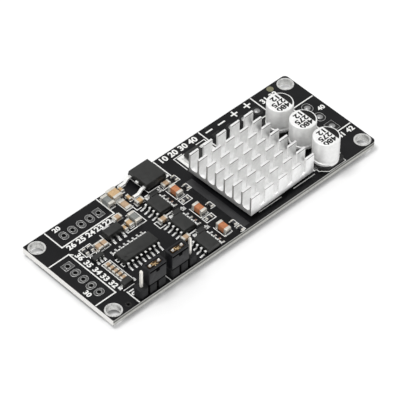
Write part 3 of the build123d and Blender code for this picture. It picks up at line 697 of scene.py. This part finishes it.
def nudge(piece, box, shift):
    """Move the corners that lie in a box of shares of a piece's size; the shift is in millimetres."""
    base, end = corners_of(piece)
    size = end - base
    pick(piece)
    bpy.ops.object.mode_set(mode="EDIT")
    bpy.ops.mesh.select_mode(type="VERT")
    bpy.ops.mesh.select_all(action="DESELECT")
    bpy.ops.object.mode_set(mode="OBJECT")
    for corner in piece.data.vertices:
        shares = [(corner.co[axis] - base[axis]) / size[axis] for axis in range(3)]
        corner.select = all(low <= share <= high for low, share, high in zip(box[0], shares, box[1]))
    bpy.ops.object.mode_set(mode="EDIT")
    bpy.ops.transform.translate(value=[length * MM for length in shift])
    bpy.ops.object.mode_set(mode="OBJECT")


NUDGES = {
    "logic_gate_body": [(share_box(z=FACE), (0, 0, -0.25)), (share_box(y=HIGH_SIDE), (0, -0.2, 0))],
    "regulator_body": [
        (share_box(x=LOW_SIDE, z=(-0.1, 0.2)), (0.8, 0, 0)),
        (share_box(x=LOW_SIDE), (0.3, 0, 0)),
        (share_box(x=HIGH_SIDE), (0.2, 0, 0)),
        (share_box(y=LOW_SIDE), (0, 0.1, 0)),
    ],
    "regulator_leads": [
        (share_box(x=(0.18, 0.25), y=(0.4, 0.6), z=(0.6, 1.1)), (0.8, 0, 0)),
        (share_box(x=(0.30, 0.33), z=UPPER), (0.4, 0, 0)),
    ],
}
for number in (1, 2, 3):
    NUDGES[f"electrolytic_{number}_plinth"] = [(share_box(y=(-0.1, 0.25)), (0, 0.35, 0))]
    NUDGES[f"diode_{number}_body"] = [
        (share_box(x=HIGH_SIDE), (-0.55, 0, 0)),
        (share_box(y=HIGH_SIDE), (0, -0.2, 0)),
        (share_box(z=FACE), (0, 0, -0.35)),
    ]
print("nudged:", len(NUDGES))

# %% Softened copies


def soften(source, finish, slot, radius):
    """Replace a solid with a copy whose sharp edges are rounded, by a radius in millimetres."""
    piece = merged(source + "_soft", source)
    for box, shift in NUDGES.get(source, []):
        nudge(piece, box, shift)
    round_edges(piece, radius, 2, limit=35)
    clean(piece)
    bpy.ops.object.shade_smooth_by_angle(angle=radians(40))
    hand_over(piece, slot, finish, source)


SOFT_EDGES = [
    (0.05, ["heatsink"]),
    (0.10, ["controller_body", "gate_driver_1_body", "gate_driver_2_body", "gate_driver_3_body"]),
    (0.12, ["regulator_body"]),
    (0.08, ["reference_body", "logic_gate_body", "diode_1_body", "diode_2_body", "diode_3_body", "diode_4_body"]),
    (0.06, ["snubber_capacitors", "ripple_capacitors", "bypass_capacitors", "ferrite_beads"]),
    (0.06, ["left_shunt_housing", "right_shunt_housing", "left_header_base", "right_header_base"]),
    (0.08, ["electrolytic_1_plinth", "electrolytic_2_plinth", "electrolytic_3_plinth"]),
    (0.05, ["chip_terminals", "regulator_leads"]),
]
BRIGHTER = {"chip_terminals": END_TIN, "regulator_leads": BEND_TIN}
for radius, sources in SOFT_EDGES:
    for source in sources:
        slot = slot_of[source]
        soften(source, BRIGHTER.get(source, FINISH_BY_SLOT[slot]), slot, radius)

# %% [markdown]
# ## Lands and solder
# Every lead stands on a tinned land that reaches a little past it, and solder rises from the land to the lead in a
# hollow ramp. One land and one ramp are modelled. Each is then copied to the end of every lead and chip terminal,
# whose places come from the boxes of the solids.

# %% One land and one ramp of solder
LAND_RISE = 0.05
LAND_ROUND = 0.02
RAMP_TUCK = 0.02
RAMP_REACH = 0.95
RAMP_INSET = 0.1
RAMP_CUT = 0.9
RAMP_STEPS = 6
RAMP_PROFILE = 0.13


def land_block():
    """A unit block, to be scaled to each land; its edges are rounded once it has its size."""
    return new_block(place=(0, 0, 0.5))


def solder_ramp():
    """A ramp one long, wide and high: full height at the lead, hollow, and thin at its toe."""
    ramp = new_block(place=(0.5, 0, 0.5))
    bpy.ops.object.mode_set(mode="EDIT")
    bpy.ops.mesh.select_mode(type="EDGE")
    bpy.ops.mesh.select_all(action="DESELECT")
    bpy.ops.object.mode_set(mode="OBJECT")
    for edge in ramp.data.edges:
        ends = [ramp.data.vertices[corner].co for corner in edge.vertices]
        edge.select = all(end.x > RAMP_CUT and end.z > RAMP_CUT for end in ends)
    bpy.ops.object.mode_set(mode="EDIT")
    bpy.ops.mesh.bevel(
        offset=RAMP_CUT, segments=RAMP_STEPS, profile=RAMP_PROFILE, affect="EDGES", clamp_overlap=False)
    bpy.ops.object.mode_set(mode="OBJECT")
    bpy.ops.object.shade_smooth_by_angle(angle=radians(50))
    return ramp


def place_copy(model, place, size=(1, 1, 1), turn=0, lean=0):
    """A copy of a model, with its own mesh, scaled, leant, turned and moved to its place."""
    piece = bpy.data.objects.new(model.name, model.data.copy())
    bpy.context.collection.objects.link(piece)
    piece.location = place
    piece.scale = size
    piece.rotation_euler = (0, lean, turn)
    return piece


def lead_ends(leads, cores, axis=None):
    """For each lead or terminal: its box, the axis it points along and the side it points to."""
    ends = []
    for low, high in loose_boxes(leads):
        middle = (low + high) / 2
        core = min(cores, key=lambda spot: (spot - middle).to_2d().length)
        away = middle - core
        along = axis if axis is not None else (0 if abs(away.x) > abs(away.y) else 1)
        ends.append((low, high, along, 1 if away[along] > 0 else -1))
    return ends


def solder_on(ends, beyond, under, widen, climb):
    """Lands and ramps for these ends: a land reaches beyond and under the end and is wider than it, in millimetres,
    and a ramp climbs to a share of the end's height."""
    made = []
    for low, high, along, side in ends:
        tip = high[along] if side > 0 else low[along]
        width = (high - low)[1 - along] + widen * MM
        length = (beyond + under) * MM
        middle = (low + high) / 2
        centre = middle.copy()
        centre[along] = tip + side * (beyond * MM - length / 2)
        centre.z = TOP
        turn = (0 if side > 0 else pi) if along == 0 else side * pi / 2
        made.append(("land", place_copy(LAND_MODEL, centre, (length, width, LAND_RISE * MM), turn)))
        start = centre.copy()
        start[along] = tip - side * RAMP_TUCK * MM
        start.z = TOP + LAND_RISE * MM / 2
        ramp_size = (beyond * RAMP_REACH * MM, width - RAMP_INSET * MM, (high.z - TOP) * climb)
        made.append(("ramp", place_copy(RAMP_MODEL, start, ramp_size, turn)))
    return made


LAND_MODEL = land_block()
RAMP_MODEL = solder_ramp()
print("ramp faces:", len(RAMP_MODEL.data.polygons))

# %% [markdown]
# Each row names leads, the bodies that they leave, the axis that they point along (0 is along the board, 1 across it)
# and the four measures of their lands and ramps. Of the regulator's leads, only the two that reach the board count.

# %% Lands and ramps at the leads
diode_cores = middles("diode_1_body", "diode_2_body", "diode_3_body", "diode_4_body")
can_cores = middles("electrolytic_1_plinth", "electrolytic_2_plinth", "electrolytic_3_plinth")
SOLDERED = [
    ("controller_leads", middles("controller_body"), 1, 0.65, 0.7, 0.06, 0.14),
    ("gate_driver_1_leads", middles("gate_driver_1_body"), 0, 0.65, 0.7, 0.04, 0.14),
    ("gate_driver_2_leads", middles("gate_driver_2_body"), 0, 0.65, 0.7, 0.04, 0.14),
    ("gate_driver_3_leads", middles("gate_driver_3_body"), 0, 0.65, 0.7, 0.04, 0.14),
    ("logic_gate_leads", middles("logic_gate_body"), 1, 0.45, 0.5, 0.25, 0.18),
    ("reference_leads", middles("reference_body"), 1, 0.65, 0.8, 0.15, 0.4),
    ("diode_leads", diode_cores, 0, 0.45, 0.7, 0.35, 0.25),
    ("electrolytic_leads", can_cores, 0, 0.35, 1.2, 0.9, 0.8),
]
REGULATOR_SOLDER = (0.35, 1.5, 0.35, 0.25)
FOOT_HEIGHT = 0.1
solder_pieces = []
for leads, cores, axis, beyond, under, widen, climb in SOLDERED:
    solder_pieces += solder_on(lead_ends(leads, cores, axis), beyond, under, widen, climb)
for low, high, along, side in lead_ends("regulator_leads", middles("regulator_body"), 0):
    if side < 0 and low.z < TOP + FOOT_HEIGHT * MM:
        solder_pieces += solder_on([(low, high, along, side)], *REGULATOR_SOLDER)
print("lands and ramps at the leads:", len(solder_pieces))

# %% [markdown]
# A formed lead leaves its package level and then bends down. The bend is where it catches the light, and from the
# camera's height it is nearly all that shows of it, so each bend gets a small bright cap over the solid lead: a
# painted highlight.

# %% Painted highlights on the bends of the leads
SMALL_OUTLINE = ["controller", "gate_driver_1", "gate_driver_2", "gate_driver_3"]
KNEE_BACK = 0.92
KNEE_DROP = 0.07
KNEE_SIZE = (0.50, 0.48, 0.16)
KNEE_ROUND = 0.05
# painted highlight: a small bright cap on the bend of every lead
knee_highlights = []
for package in SMALL_OUTLINE:
    axis = 1 if package == "controller" else 0
    for low, high, along, side in lead_ends(package + "_leads", middles(package + "_body"), axis):
        centre = (low + high) / 2
        centre[along] = (high[along] if side > 0 else low[along]) - side * KNEE_BACK * MM
        centre.z = high.z - KNEE_DROP * MM
        knee_highlights.append(place_copy(LAND_MODEL, centre, [length * MM for length in KNEE_SIZE], along * pi / 2))
bend_highlights = join(knee_highlights, "lead_bend_highlights")
round_edges(bend_highlights, KNEE_ROUND, 3, smooth=50)
hand_over(bend_highlights, "tinned_lead", BEND_TIN)

# %% Lands and ramps at the chips
CHIP_NODES = ["snubber_capacitors", "ripple_capacitors", "bypass_capacitors", "ferrite_beads", "chip_resistors"]
RESISTOR_REACH = 1.2
RESISTOR_SOLDER = (0.20, 0.4, 0.0, 0.4)
CHIP_SOLDER = (0.24, 0.5, 0.08, 0.5)
resistor_cores = middles("chip_resistors")
for end in lead_ends("chip_terminals", middles(*CHIP_NODES)):
    middle = (end[0] + end[1]) / 2
    resistor = min((core - middle).length for core in resistor_cores) < RESISTOR_REACH * MM
    solder_pieces += solder_on([end], *(RESISTOR_SOLDER if resistor else CHIP_SOLDER))

# %% [markdown]
# The regulator's tab and the power stage stand on broad lands, whose bare ends show beside them. With those, every
# land is there: the small ones become one piece, the broad ones another, and the ramps a third.

# %% Broad lands
BIG_LANDS = [
    (36.0, 23.9, 37.9, 28.5),
    (37.4, 23.6, 38.35, 24.3),
    (43.2, 21.7, 45.6, 26.4),
    (50.0, 21.9, 52.0, 25.9),
]
broad_lands = []
for left, near, right, far in BIG_LANDS:
    middle = at((left + right) / 2, (near + far) / 2)
    size = ((right - left) * MM, (far - near) * MM, LAND_RISE * MM)
    broad_lands.append(place_copy(LAND_MODEL, middle, size))

small_lands = [piece for kind, piece in solder_pieces if kind == "land"]
for pieces, name, finish in ((small_lands, "tinned_lands", SOLDER), (broad_lands, "broad_lands", BEND_TIN)):
    lands = join(pieces, name)
    round_edges(lands, LAND_ROUND, 2, smooth=40)
    hand_over(lands, "solder", finish)
ramps = join([piece for kind, piece in solder_pieces if kind == "ramp"], "solder_ramps")
hand_over(ramps, "solder", SOLDER)
for model in (LAND_MODEL, RAMP_MODEL):
    bpy.data.objects.remove(model)

# %% [markdown]
# ## Printed legend
# A silk-screened line is a flat ribbon of white ink, about a third as thick as a hair. Each stroke is a short round
# rod squashed almost flat, which gives the soft shoulders of real ink. The rods overlap, so corners come out full.

# %% Ink strokes
INK = mottled("white_ink", (0.74, 0.74, 0.72), (0.9, 0.9, 0.88), size=0.5, roughness=(0.55, 0.75), relief=0.004)
INK_RISE = 0.02


def flatten(piece, width, rise):
    """Squash round rods of one width to a rise above the board's face."""
    open_up(piece)
    bpy.ops.transform.translate(value=(0, 0, -TOP))
    bpy.ops.transform.resize(value=(1, 1, rise / (width / 2)), center_override=(0, 0, 0))
    bpy.ops.transform.translate(value=(0, 0, TOP))
    bpy.ops.object.mode_set(mode="OBJECT")


def rod_lines(name, paths, width, closed=False):
    """Round rods along paths given in board millimetres: loose strokes, or closed rings."""
    curve = bpy.data.curves.new(name, "CURVE")
    curve.dimensions = "3D"
    curve.bevel_depth = width * MM / 2
    curve.bevel_resolution = 2
    curve.use_fill_caps = True
    for path in paths:
        spots = [at(*spot) for spot in path]
        runs = [spots] if closed else list(zip(spots, spots[1:]))
        for run in runs:
            spline = curve.splines.new("POLY")
            spline.points.add(len(run) - 1)
            spline.use_cyclic_u = closed
            reach = Vector() if closed else (run[-1] - run[0]).normalized() * width * MM / 2
            ends = [run[0] - reach, *run[1:-1], run[-1] + reach]
            for point, end in zip(spline.points, ends):
                point.co = (*end, 1)
    lines = bpy.data.objects.new(name, curve)
    bpy.context.collection.objects.link(lines)
    pick(lines)
    bpy.ops.object.convert(target="MESH")
    return lines


def ink_strokes(name, paths, width):
    """White ink along paths, as one piece."""
    lines = rod_lines(name, paths, width)
    flatten(lines, width, INK_RISE)
    hand_over(lines, "solder_mask", INK)


def box_path(left, low, right, high):
    """A closed rectangle as a path."""
    return [(left, low), (right, low), (right, high), (left, high), (left, low)]


def bracket(x, y, reach, half):
    """Three sides of a small box round the far end of a chip."""
    return [(x, y + half), (x + reach, y + half), (x + reach, y - half), (x, y - half)]


# %% Frames, outlines and signs
FRAME_INK = 0.33
OUTLINE_INK = 0.23
SIGN_INK = 0.42
PORT_FRAMES = [
    [(6.2, 29.1), (6.2, 23.4), (21.55, 23.4), (21.55, 29.1)],
    [(0.3, 20.9), (5.95, 20.9), (5.95, 5.8), (0.3, 5.8)],
    [(38.67, 29.1), (38.67, 23.5)],
    [(52.55, 29.1), (52.55, 22.7), (68.95, 22.7), (68.95, 29.1)],
    [(79.9, 20.15), (73.6, 20.15), (73.6, 8.05), (79.9, 8.05)],
    [(7.8, 0.3), (7.8, 4.1)],
    [(6.0, 20.8), (6.5, 20.25)],
]
PART_OUTLINES = [
    [(7.6, 4.95), (10.5, 4.95)],
    [(17.1, 0.3), (17.1, 2.4)],
    box_path(8.25, 17.6, 11.45, 20.25),
    [(14.7, 20.5), (14.7, 19.4), (11.45, 19.4), (11.45, 16.9), (14.6, 16.9), (14.6, 19.4)],
    [(9.0, 7.4), (9.0, 13.6), (11.4, 13.6), (11.4, 5.5)],
    [(12.6, 12.75), (12.25, 12.75), (12.25, 11.95), (12.6, 11.95)],
    [(12.6, 11.05), (12.25, 11.05), (12.25, 10.15), (12.6, 10.15)],
    bracket(20.3, 22.0, 1.7, 0.9),
    [(22.06, 28.6), (22.06, 25.4), (24.2, 25.4)],
    [(24.09, 25.3), (24.09, 22.25), (26.1, 22.25)],
    [(25.9, 23.1), (25.9, 20.66), (27.2, 20.66)],
    [(19.7, 17.4), (19.7, 16.9), (25.25, 16.9), (25.25, 21.05), (22.9, 21.05)],
    [(27.2, 15.1), (25.88, 15.1), (25.88, 13.08), (27.5, 13.08)],
    [(31.4, 29.1), (31.4, 22.87), (34.2, 22.87)],
    [(35.0, 22.8), (34.2, 22.8), (34.2, 21.2), (39.35, 21.2), (39.35, 22.9), (38.2, 22.9)],
    bracket(38.2, 18.45, 1.3, 0.85),
    bracket(38.2, 10.8, 1.3, 0.85),
    bracket(38.2, 3.3, 1.3, 0.85),
    bracket(38.2, 1.15, 1.3, 0.75),
    box_path(34.55, 15.0, 37.3, 16.6),
    box_path(34.55, 7.35, 37.3, 8.95),
    [(42.6, 22.3), (42.6, 26.7), (45.0, 26.7)],
    [(49.5, 26.7), (52.0, 26.7), (52.0, 25.9)],
    [(45.3, 1.95), (52.0, 1.95)],
    [(56.0, 1.95), (62.5, 1.95)],
    [(63.85, 3.9), (63.85, 1.9), (65.55, 0.28), (70.75, 0.28), (70.75, 0.9)],
]
for y in (18.7, 11.05, 3.4):
    PART_OUTLINES += [[(34.55, y + 1.9), (34.55, y - 1.6), (36.9, y - 1.6), (36.9, y - 1.1)]]
ink_strokes("port_frames", PORT_FRAMES, FRAME_INK)
ink_strokes("part_outlines", PART_OUTLINES, OUTLINE_INK)

SIGNS = [[(53.9, 27.9), (55.5, 27.9)], [(57.7, 27.85), (59.4, 27.85)]]
for x in (62.65, 66.7):
    SIGNS += [[(x - 0.8, 28.0), (x + 0.8, 28.0)], [(x, 27.2), (x, 28.8)]]
THICK_BARS = [[(29.5, 15.15), (31.2, 15.15)], [(29.5, 7.5), (31.2, 7.5)], [(30.0, 22.45), (31.0, 22.45)]]
ink_strokes("polarity_signs", SIGNS + THICK_BARS, SIGN_INK)

# %% [markdown]
# The pins are marked with plain numbers in the same ink. Blender's own text is turned into a thin solid mesh, and its
# points are welded, because letters can leave some almost on top of each other.

# %% Plain numbers
FIGURE_SHARE = 0.70
FIGURE_BOLD = 0.05
FIGURE_WELD = 0.002


def figures(text, place, height, turn=0, rise=INK_RISE, widen=1.1):
    """A plain number as a thin solid, centred on a place, with its height in millimetres."""
    bpy.ops.object.select_all(action="DESELECT")
    bpy.ops.object.text_add(location=(0, 0, 0))
    letters = bpy.context.object
    letters.data.body = text
    letters.data.align_x = "CENTER"
    letters.data.align_y = "CENTER"
    letters.data.size = height / FIGURE_SHARE * MM
    letters.data.offset = FIGURE_BOLD * height * MM
    letters.data.extrude = rise * MM / 2
    letters.data.resolution_u = 4
    bpy.ops.object.convert(target="MESH")
    piece = bpy.context.object
    clean(piece, FIGURE_WELD * MM)
    piece.scale = (widen, 1, 1)
    piece.rotation_euler = (0, 0, turn)
    piece.location = place
    return piece


PIN_FIGURE = 1.35
PIN_NUMBERS = [("26", 8.0), ("25", 10.85), ("24", 13.6), ("23", 16.1), ("22", 18.6)]
COLUMN_NUMBERS = [("36", 18.8), ("35", 15.95), ("34", 13.1), ("33", 10.55), ("32", 7.85)]
board_numbers = [figures(text, at(x, 22.3), PIN_FIGURE, widen=1.15) for text, x in PIN_NUMBERS]
board_numbers += [figures(text, at(7.15, y), PIN_FIGURE, -pi / 2, widen=1.12) for text, y in COLUMN_NUMBERS]
board_numbers += [
    figures("20", at(8.9, 28.3), 1.2),
    figures("30", at(1.2, 9.6), 1.2, -pi / 2),
    figures("40", at(78.7, 16.0), 1.2),
    figures("10", at(8.7, 3.4), 1.3, -pi / 2),
    figures("31 32", at(72.3, 26.45), 1.4),
    figures("41 42", at(77.2, 6.6), 1.35),
    figures("10 20 30 40", at(45.3, 28.15), 1.5),
]
numbers = join(board_numbers, "board_numbers")
hand_over(numbers, "solder_mask", INK)

# %% [markdown]
# ## Print on the cans
# Each can carries a black segment on its negative side and three short rows of figures that read from the far side.
# The three cans are alike, so the print is made once, over the origin, and each can gets a copy.

# %% Print on the cans
CAN_INK = mottled("black_ink", grey(0.006), grey(0.012), size=0.3, roughness=(0.5, 0.65), specular=0.2)
CAN_FACE_SINK = 0.06
SEGMENT_RADIUS = 2.93
SEGMENT_CHORD = 1.42
SEGMENT_DEPTH = 0.08
SEGMENT_PROUD = -0.005
PRINT_RISE = 0.02
CAN_FIGURE = 1.3
CAN_ROWS = [("480", -0.5, -1.55), ("275", -0.5, 0.1), ("12", 0.1, 1.7)]


def dark_segment():
    """A thin disc, cut by a chord so that only its far +X segment is left."""
    bpy.ops.object.select_all(action="DESELECT")
    bpy.ops.mesh.primitive_cylinder_add(vertices=96, radius=SEGMENT_RADIUS * MM, depth=SEGMENT_DEPTH * MM)
    piece = bpy.context.object
    open_up(piece)
    bpy.ops.mesh.bisect(
        plane_co=(SEGMENT_CHORD * MM, 0, 0), plane_no=(1, 0, 0), use_fill=True, clear_inner=True, threshold=1e-7)
    bpy.ops.object.mode_set(mode="OBJECT")
    piece.location.z = (SEGMENT_PROUD - SEGMENT_DEPTH / 2) * MM
    return piece


face = PRINT_RISE / 2 - CAN_FACE_SINK
rows = [figures(text, Vector((x, y, face)) * MM, CAN_FIGURE, pi, PRINT_RISE, 1.3) for text, x, y in CAN_ROWS]
one_print = join([dark_segment(), *rows], "one_print")
can_prints = []
for number in (1, 2, 3):
    low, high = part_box(f"electrolytic_{number}_can")
    can_prints.append(place_copy(one_print, ((low.x + high.x) / 2, (low.y + high.y) / 2, high.z)))
bpy.data.objects.remove(one_print)
print_on_cans = join(can_prints, "can_print")
hand_over(print_on_cans, "can_aluminium", CAN_INK)

# %% [markdown]
# ## Jumper details
# Each push-on jumper has a deep slot across its front with a notch under it, and the shade in them is painted:
# near-black slabs laid on the front face. A painted shadow marks the gap where it stands on its header, and
# near-black slabs paint the shade in the clefts between the header's three blocks. Inside its top, the leaves of the
# spring cross in a star.

# %% Painted shade in slots, gaps and clefts
SHADE = mottled(
    "slot_shade", (0.0006, 0.0006, 0.0008), (0.0018, 0.0018, 0.002),
    size=0.5, roughness=(0.75, 0.9), specular=0.02, relief=0.004)
PROUD = 0.004
SHADE_DEPTH = 0.05
SHADE_ROUND = 0.01
SLOT_INSET = 0.15
SLOT_SPAN = (0.85, 0.42)
NOTCH_HALF = 0.50
NOTCH_SPAN = (1.55, 0.70)
GAP_SPAN = (0.20, 0.12)
CLEFT_HALF = 0.16
CLEFT_DEPTH = (0.02, 0.5)
CLEFT_SINK = 0.01


def block_between(low, high):
    """A block with slightly rounded edges between two corners."""
    piece = new_block(high - low, (low + high) / 2)
    round_edges(piece, SHADE_ROUND)
    return piece


def shade_lines(side):
    """The painted shade lines on one jumper and its header."""
    low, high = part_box(f"{side}_shunt_housing")
    base_low, base_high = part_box(f"{side}_header_base")
    front = low.y - PROUD * MM
    middle = (low.x + high.x) / 2
    slot_low, slot_high, notch_low, notch_high = (high.z - drop * MM for drop in (*SLOT_SPAN, *NOTCH_SPAN))
    gap_low, gap_high = low.z - GAP_SPAN[0] * MM, low.z + GAP_SPAN[1] * MM
    # painted shade: near-black slabs in the slot and the notch, and a painted shadow along the gap under the jumper
    lines = [
        (low.x + SLOT_INSET * MM, slot_low, high.x - SLOT_INSET * MM, slot_high),
        (middle - NOTCH_HALF * MM, notch_low, middle + NOTCH_HALF * MM, notch_high),
        (low.x, gap_low, high.x, gap_high),
    ]
    parts = []
    for left, bottom, right, top in lines:
        parts.append(block_between(Vector((left, front, bottom)), Vector((right, front + SHADE_DEPTH * MM, top))))
    # painted shade in the clefts between the header's blocks
    near, far = (base_low.y + depth * MM for depth in CLEFT_DEPTH)
    third = (base_high.x - base_low.x) / 3
    for step in (1, 2):
        x = base_low.x + third * step
        corner = Vector((x - CLEFT_HALF * MM, near, base_low.z))
        parts.append(block_between(corner, Vector((x + CLEFT_HALF * MM, far, base_high.z - CLEFT_SINK * MM))))
    return parts


shades = join(shade_lines("left") + shade_lines("right"), "jumper_slot_shade")
hand_over(shades, "shunt_plastic", SHADE)

# %% Spring leaves in the jumpers
LEAF_SIZE = (1.7, 0.2)
LEAF_THICK = 0.08
LEAF_ROUND = 0.035
LEAF_ANGLES = [radians(15), radians(75), radians(140)]
LEAF_LEAN = radians(4)
LEAF_SINK = 0.22
LOOSE_LEAF_SIZE = (1.3, 0.28)
LOOSE_LEAF_SHIFT = (-0.85, 0.35, 0.1)
LOOSE_LEAF_ANGLE = radians(8)


def spring_leaf(size):
    """A slim leaf of spring, bowed by its rounded edges."""
    leaf = new_block([length * MM for length in (*size, LEAF_THICK)])
    round_edges(leaf, LEAF_ROUND, 3, smooth=60)
    return leaf


long_leaf, loose_leaf = spring_leaf(LEAF_SIZE), spring_leaf(LOOSE_LEAF_SIZE)
leaves = []
for side in ("left", "right"):
    low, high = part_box(f"{side}_shunt_housing")
    heart = Vector(((low.x + high.x) / 2, (low.y + high.y) / 2, high.z - LEAF_SINK * MM))
    leaves += [place_copy(long_leaf, heart, turn=angle, lean=LEAF_LEAN) for angle in LEAF_ANGLES]
    leaves.append(place_copy(loose_leaf, heart + Vector(LOOSE_LEAF_SHIFT) * MM, turn=LOOSE_LEAF_ANGLE))
for model in (long_leaf, loose_leaf):
    bpy.data.objects.remove(model)
star = join(leaves, "spring_leaves")
hand_over(star, "contact_sheet", LEAF_GOLD)

# %% [markdown]
# ## Small things on the bare board
# Bright rims run round the plated pads, where tin meets mask, as painted highlights: two for each pad, and a square
# outside the first pad of a row. They are made like the ink strokes, as rods squashed flat.

# %% Pad rims, painted highlights
RIM_RISE = 0.065
RIM_WIDTH = 0.16
RIM_STEPS = 24
PITCH = 2.54
SENSOR_ROW = (19.08, 25.85)
CONTROL_ROW = (3.4, 18.42)
MOTOR_X = 76.3
MOTOR_ROUND_PADS = (14.1, 18.06)
PAD_OUTER = (2.4, 1.8)
PAD_INNER = (1.2, 1.2)
MOTOR_PAD = (2.8, 2.3)


def oblong_path(x, y, size, across):
    """Points round an oblong pad of a length and width, long across its row."""
    long, wide = size
    flat = (long - wide) / 2
    points = []
    for step in range(RIM_STEPS):
        angle = 2 * pi * step / RIM_STEPS
        shift = flat if sin(angle) >= 0 else -flat
        side, end = wide / 2 * cos(angle), wide / 2 * sin(angle) + shift
        points.append((x + side, y + end) if across else (x + end, y + side))
    return points


def pad_rim_highlights():
    """The closed paths of all painted highlight rims: rings and squares."""
    rings = []
    for step in range(5):
        shift = PITCH * step
        for x, y, across in (
                (SENSOR_ROW[0] - shift, SENSOR_ROW[1], True), (CONTROL_ROW[0], CONTROL_ROW[1] - shift, False)):
            if step:
                rings.append(oblong_path(x, y, PAD_OUTER, across))
            rings.append(oblong_path(x, y, PAD_INNER, across))
    rings += [oblong_path(MOTOR_X, y, MOTOR_PAD, True) for y in MOTOR_ROUND_PADS]
    squares = [
        [(18.13, 24.6), (20.03, 24.6), (20.03, 27.1), (18.13, 27.1)],
        [(2.15, 17.47), (4.65, 17.47), (4.65, 19.37), (2.15, 19.37)],
        [(75.1, 8.69), (77.5, 8.69), (77.5, 11.59), (75.1, 11.59)],
    ]
    return rings, squares


rings, squares = pad_rim_highlights()
# painted highlights: bright rims round the pads
rim_highlights = rod_lines("pad_rim_highlights", rings + squares, RIM_WIDTH, closed=True)
flatten(rim_highlights, RIM_WIDTH, RIM_RISE)
hand_over(rim_highlights, "tinned_copper", RIM_HIGHLIGHT_TIN)

# %% [markdown]
# A round alignment mark of bare copper sits in the far corner. Under the mask, a broad pour of copper stands just
# proud beside the heat sink.

# %% Alignment mark and copper pour
OLIVE = mottled(
    "bare_copper", (0.16, 0.15, 0.09), (0.26, 0.25, 0.16),
    size=0.4, roughness=(0.35, 0.5), metallic=0.4, relief=0.006)
POUR = mottled(
    "mask_over_copper", (0.018, 0.018, 0.019), (0.03, 0.03, 0.032),
    size=5.0, roughness=(0.3, 0.4), specular=0.35)
MARK_PLACE = (74.4, 28.3, 0.02)
MARK_RADIUS = 0.85
MARK_RISE = 0.04
MARK_ROUND = 0.015
POUR_PLACE = (40.5, 10.3)
POUR_SIZE = (1.9, 18.6, 0.05)
POUR_ROUND = 0.02

bpy.ops.object.select_all(action="DESELECT")
bpy.ops.mesh.primitive_cylinder_add(
    vertices=48, radius=MARK_RADIUS * MM, depth=MARK_RISE * MM, location=at(*MARK_PLACE))
mark = bpy.context.object
mark.name = "alignment_mark"
settle(mark)
round_edges(mark, MARK_ROUND, smooth=40)
hand_over(mark, "tinned_copper", OLIVE)

pour = new_block([length * MM for length in POUR_SIZE], at(*POUR_PLACE))
pour.name = "copper_pour"
round_edges(pour, POUR_ROUND, 3, smooth=40)
hand_over(pour, "solder_mask", POUR)

# %% [markdown]
# The last step sets the box of the finished model beside the box of the solids and prints how far it has grown past
# them.

low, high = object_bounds()
growth = [end - start for start, end in (*zip(cad_high, high), *zip(low, cad_low))]
print("grown by, mm:", [round(length / MM, 3) for length in growth])
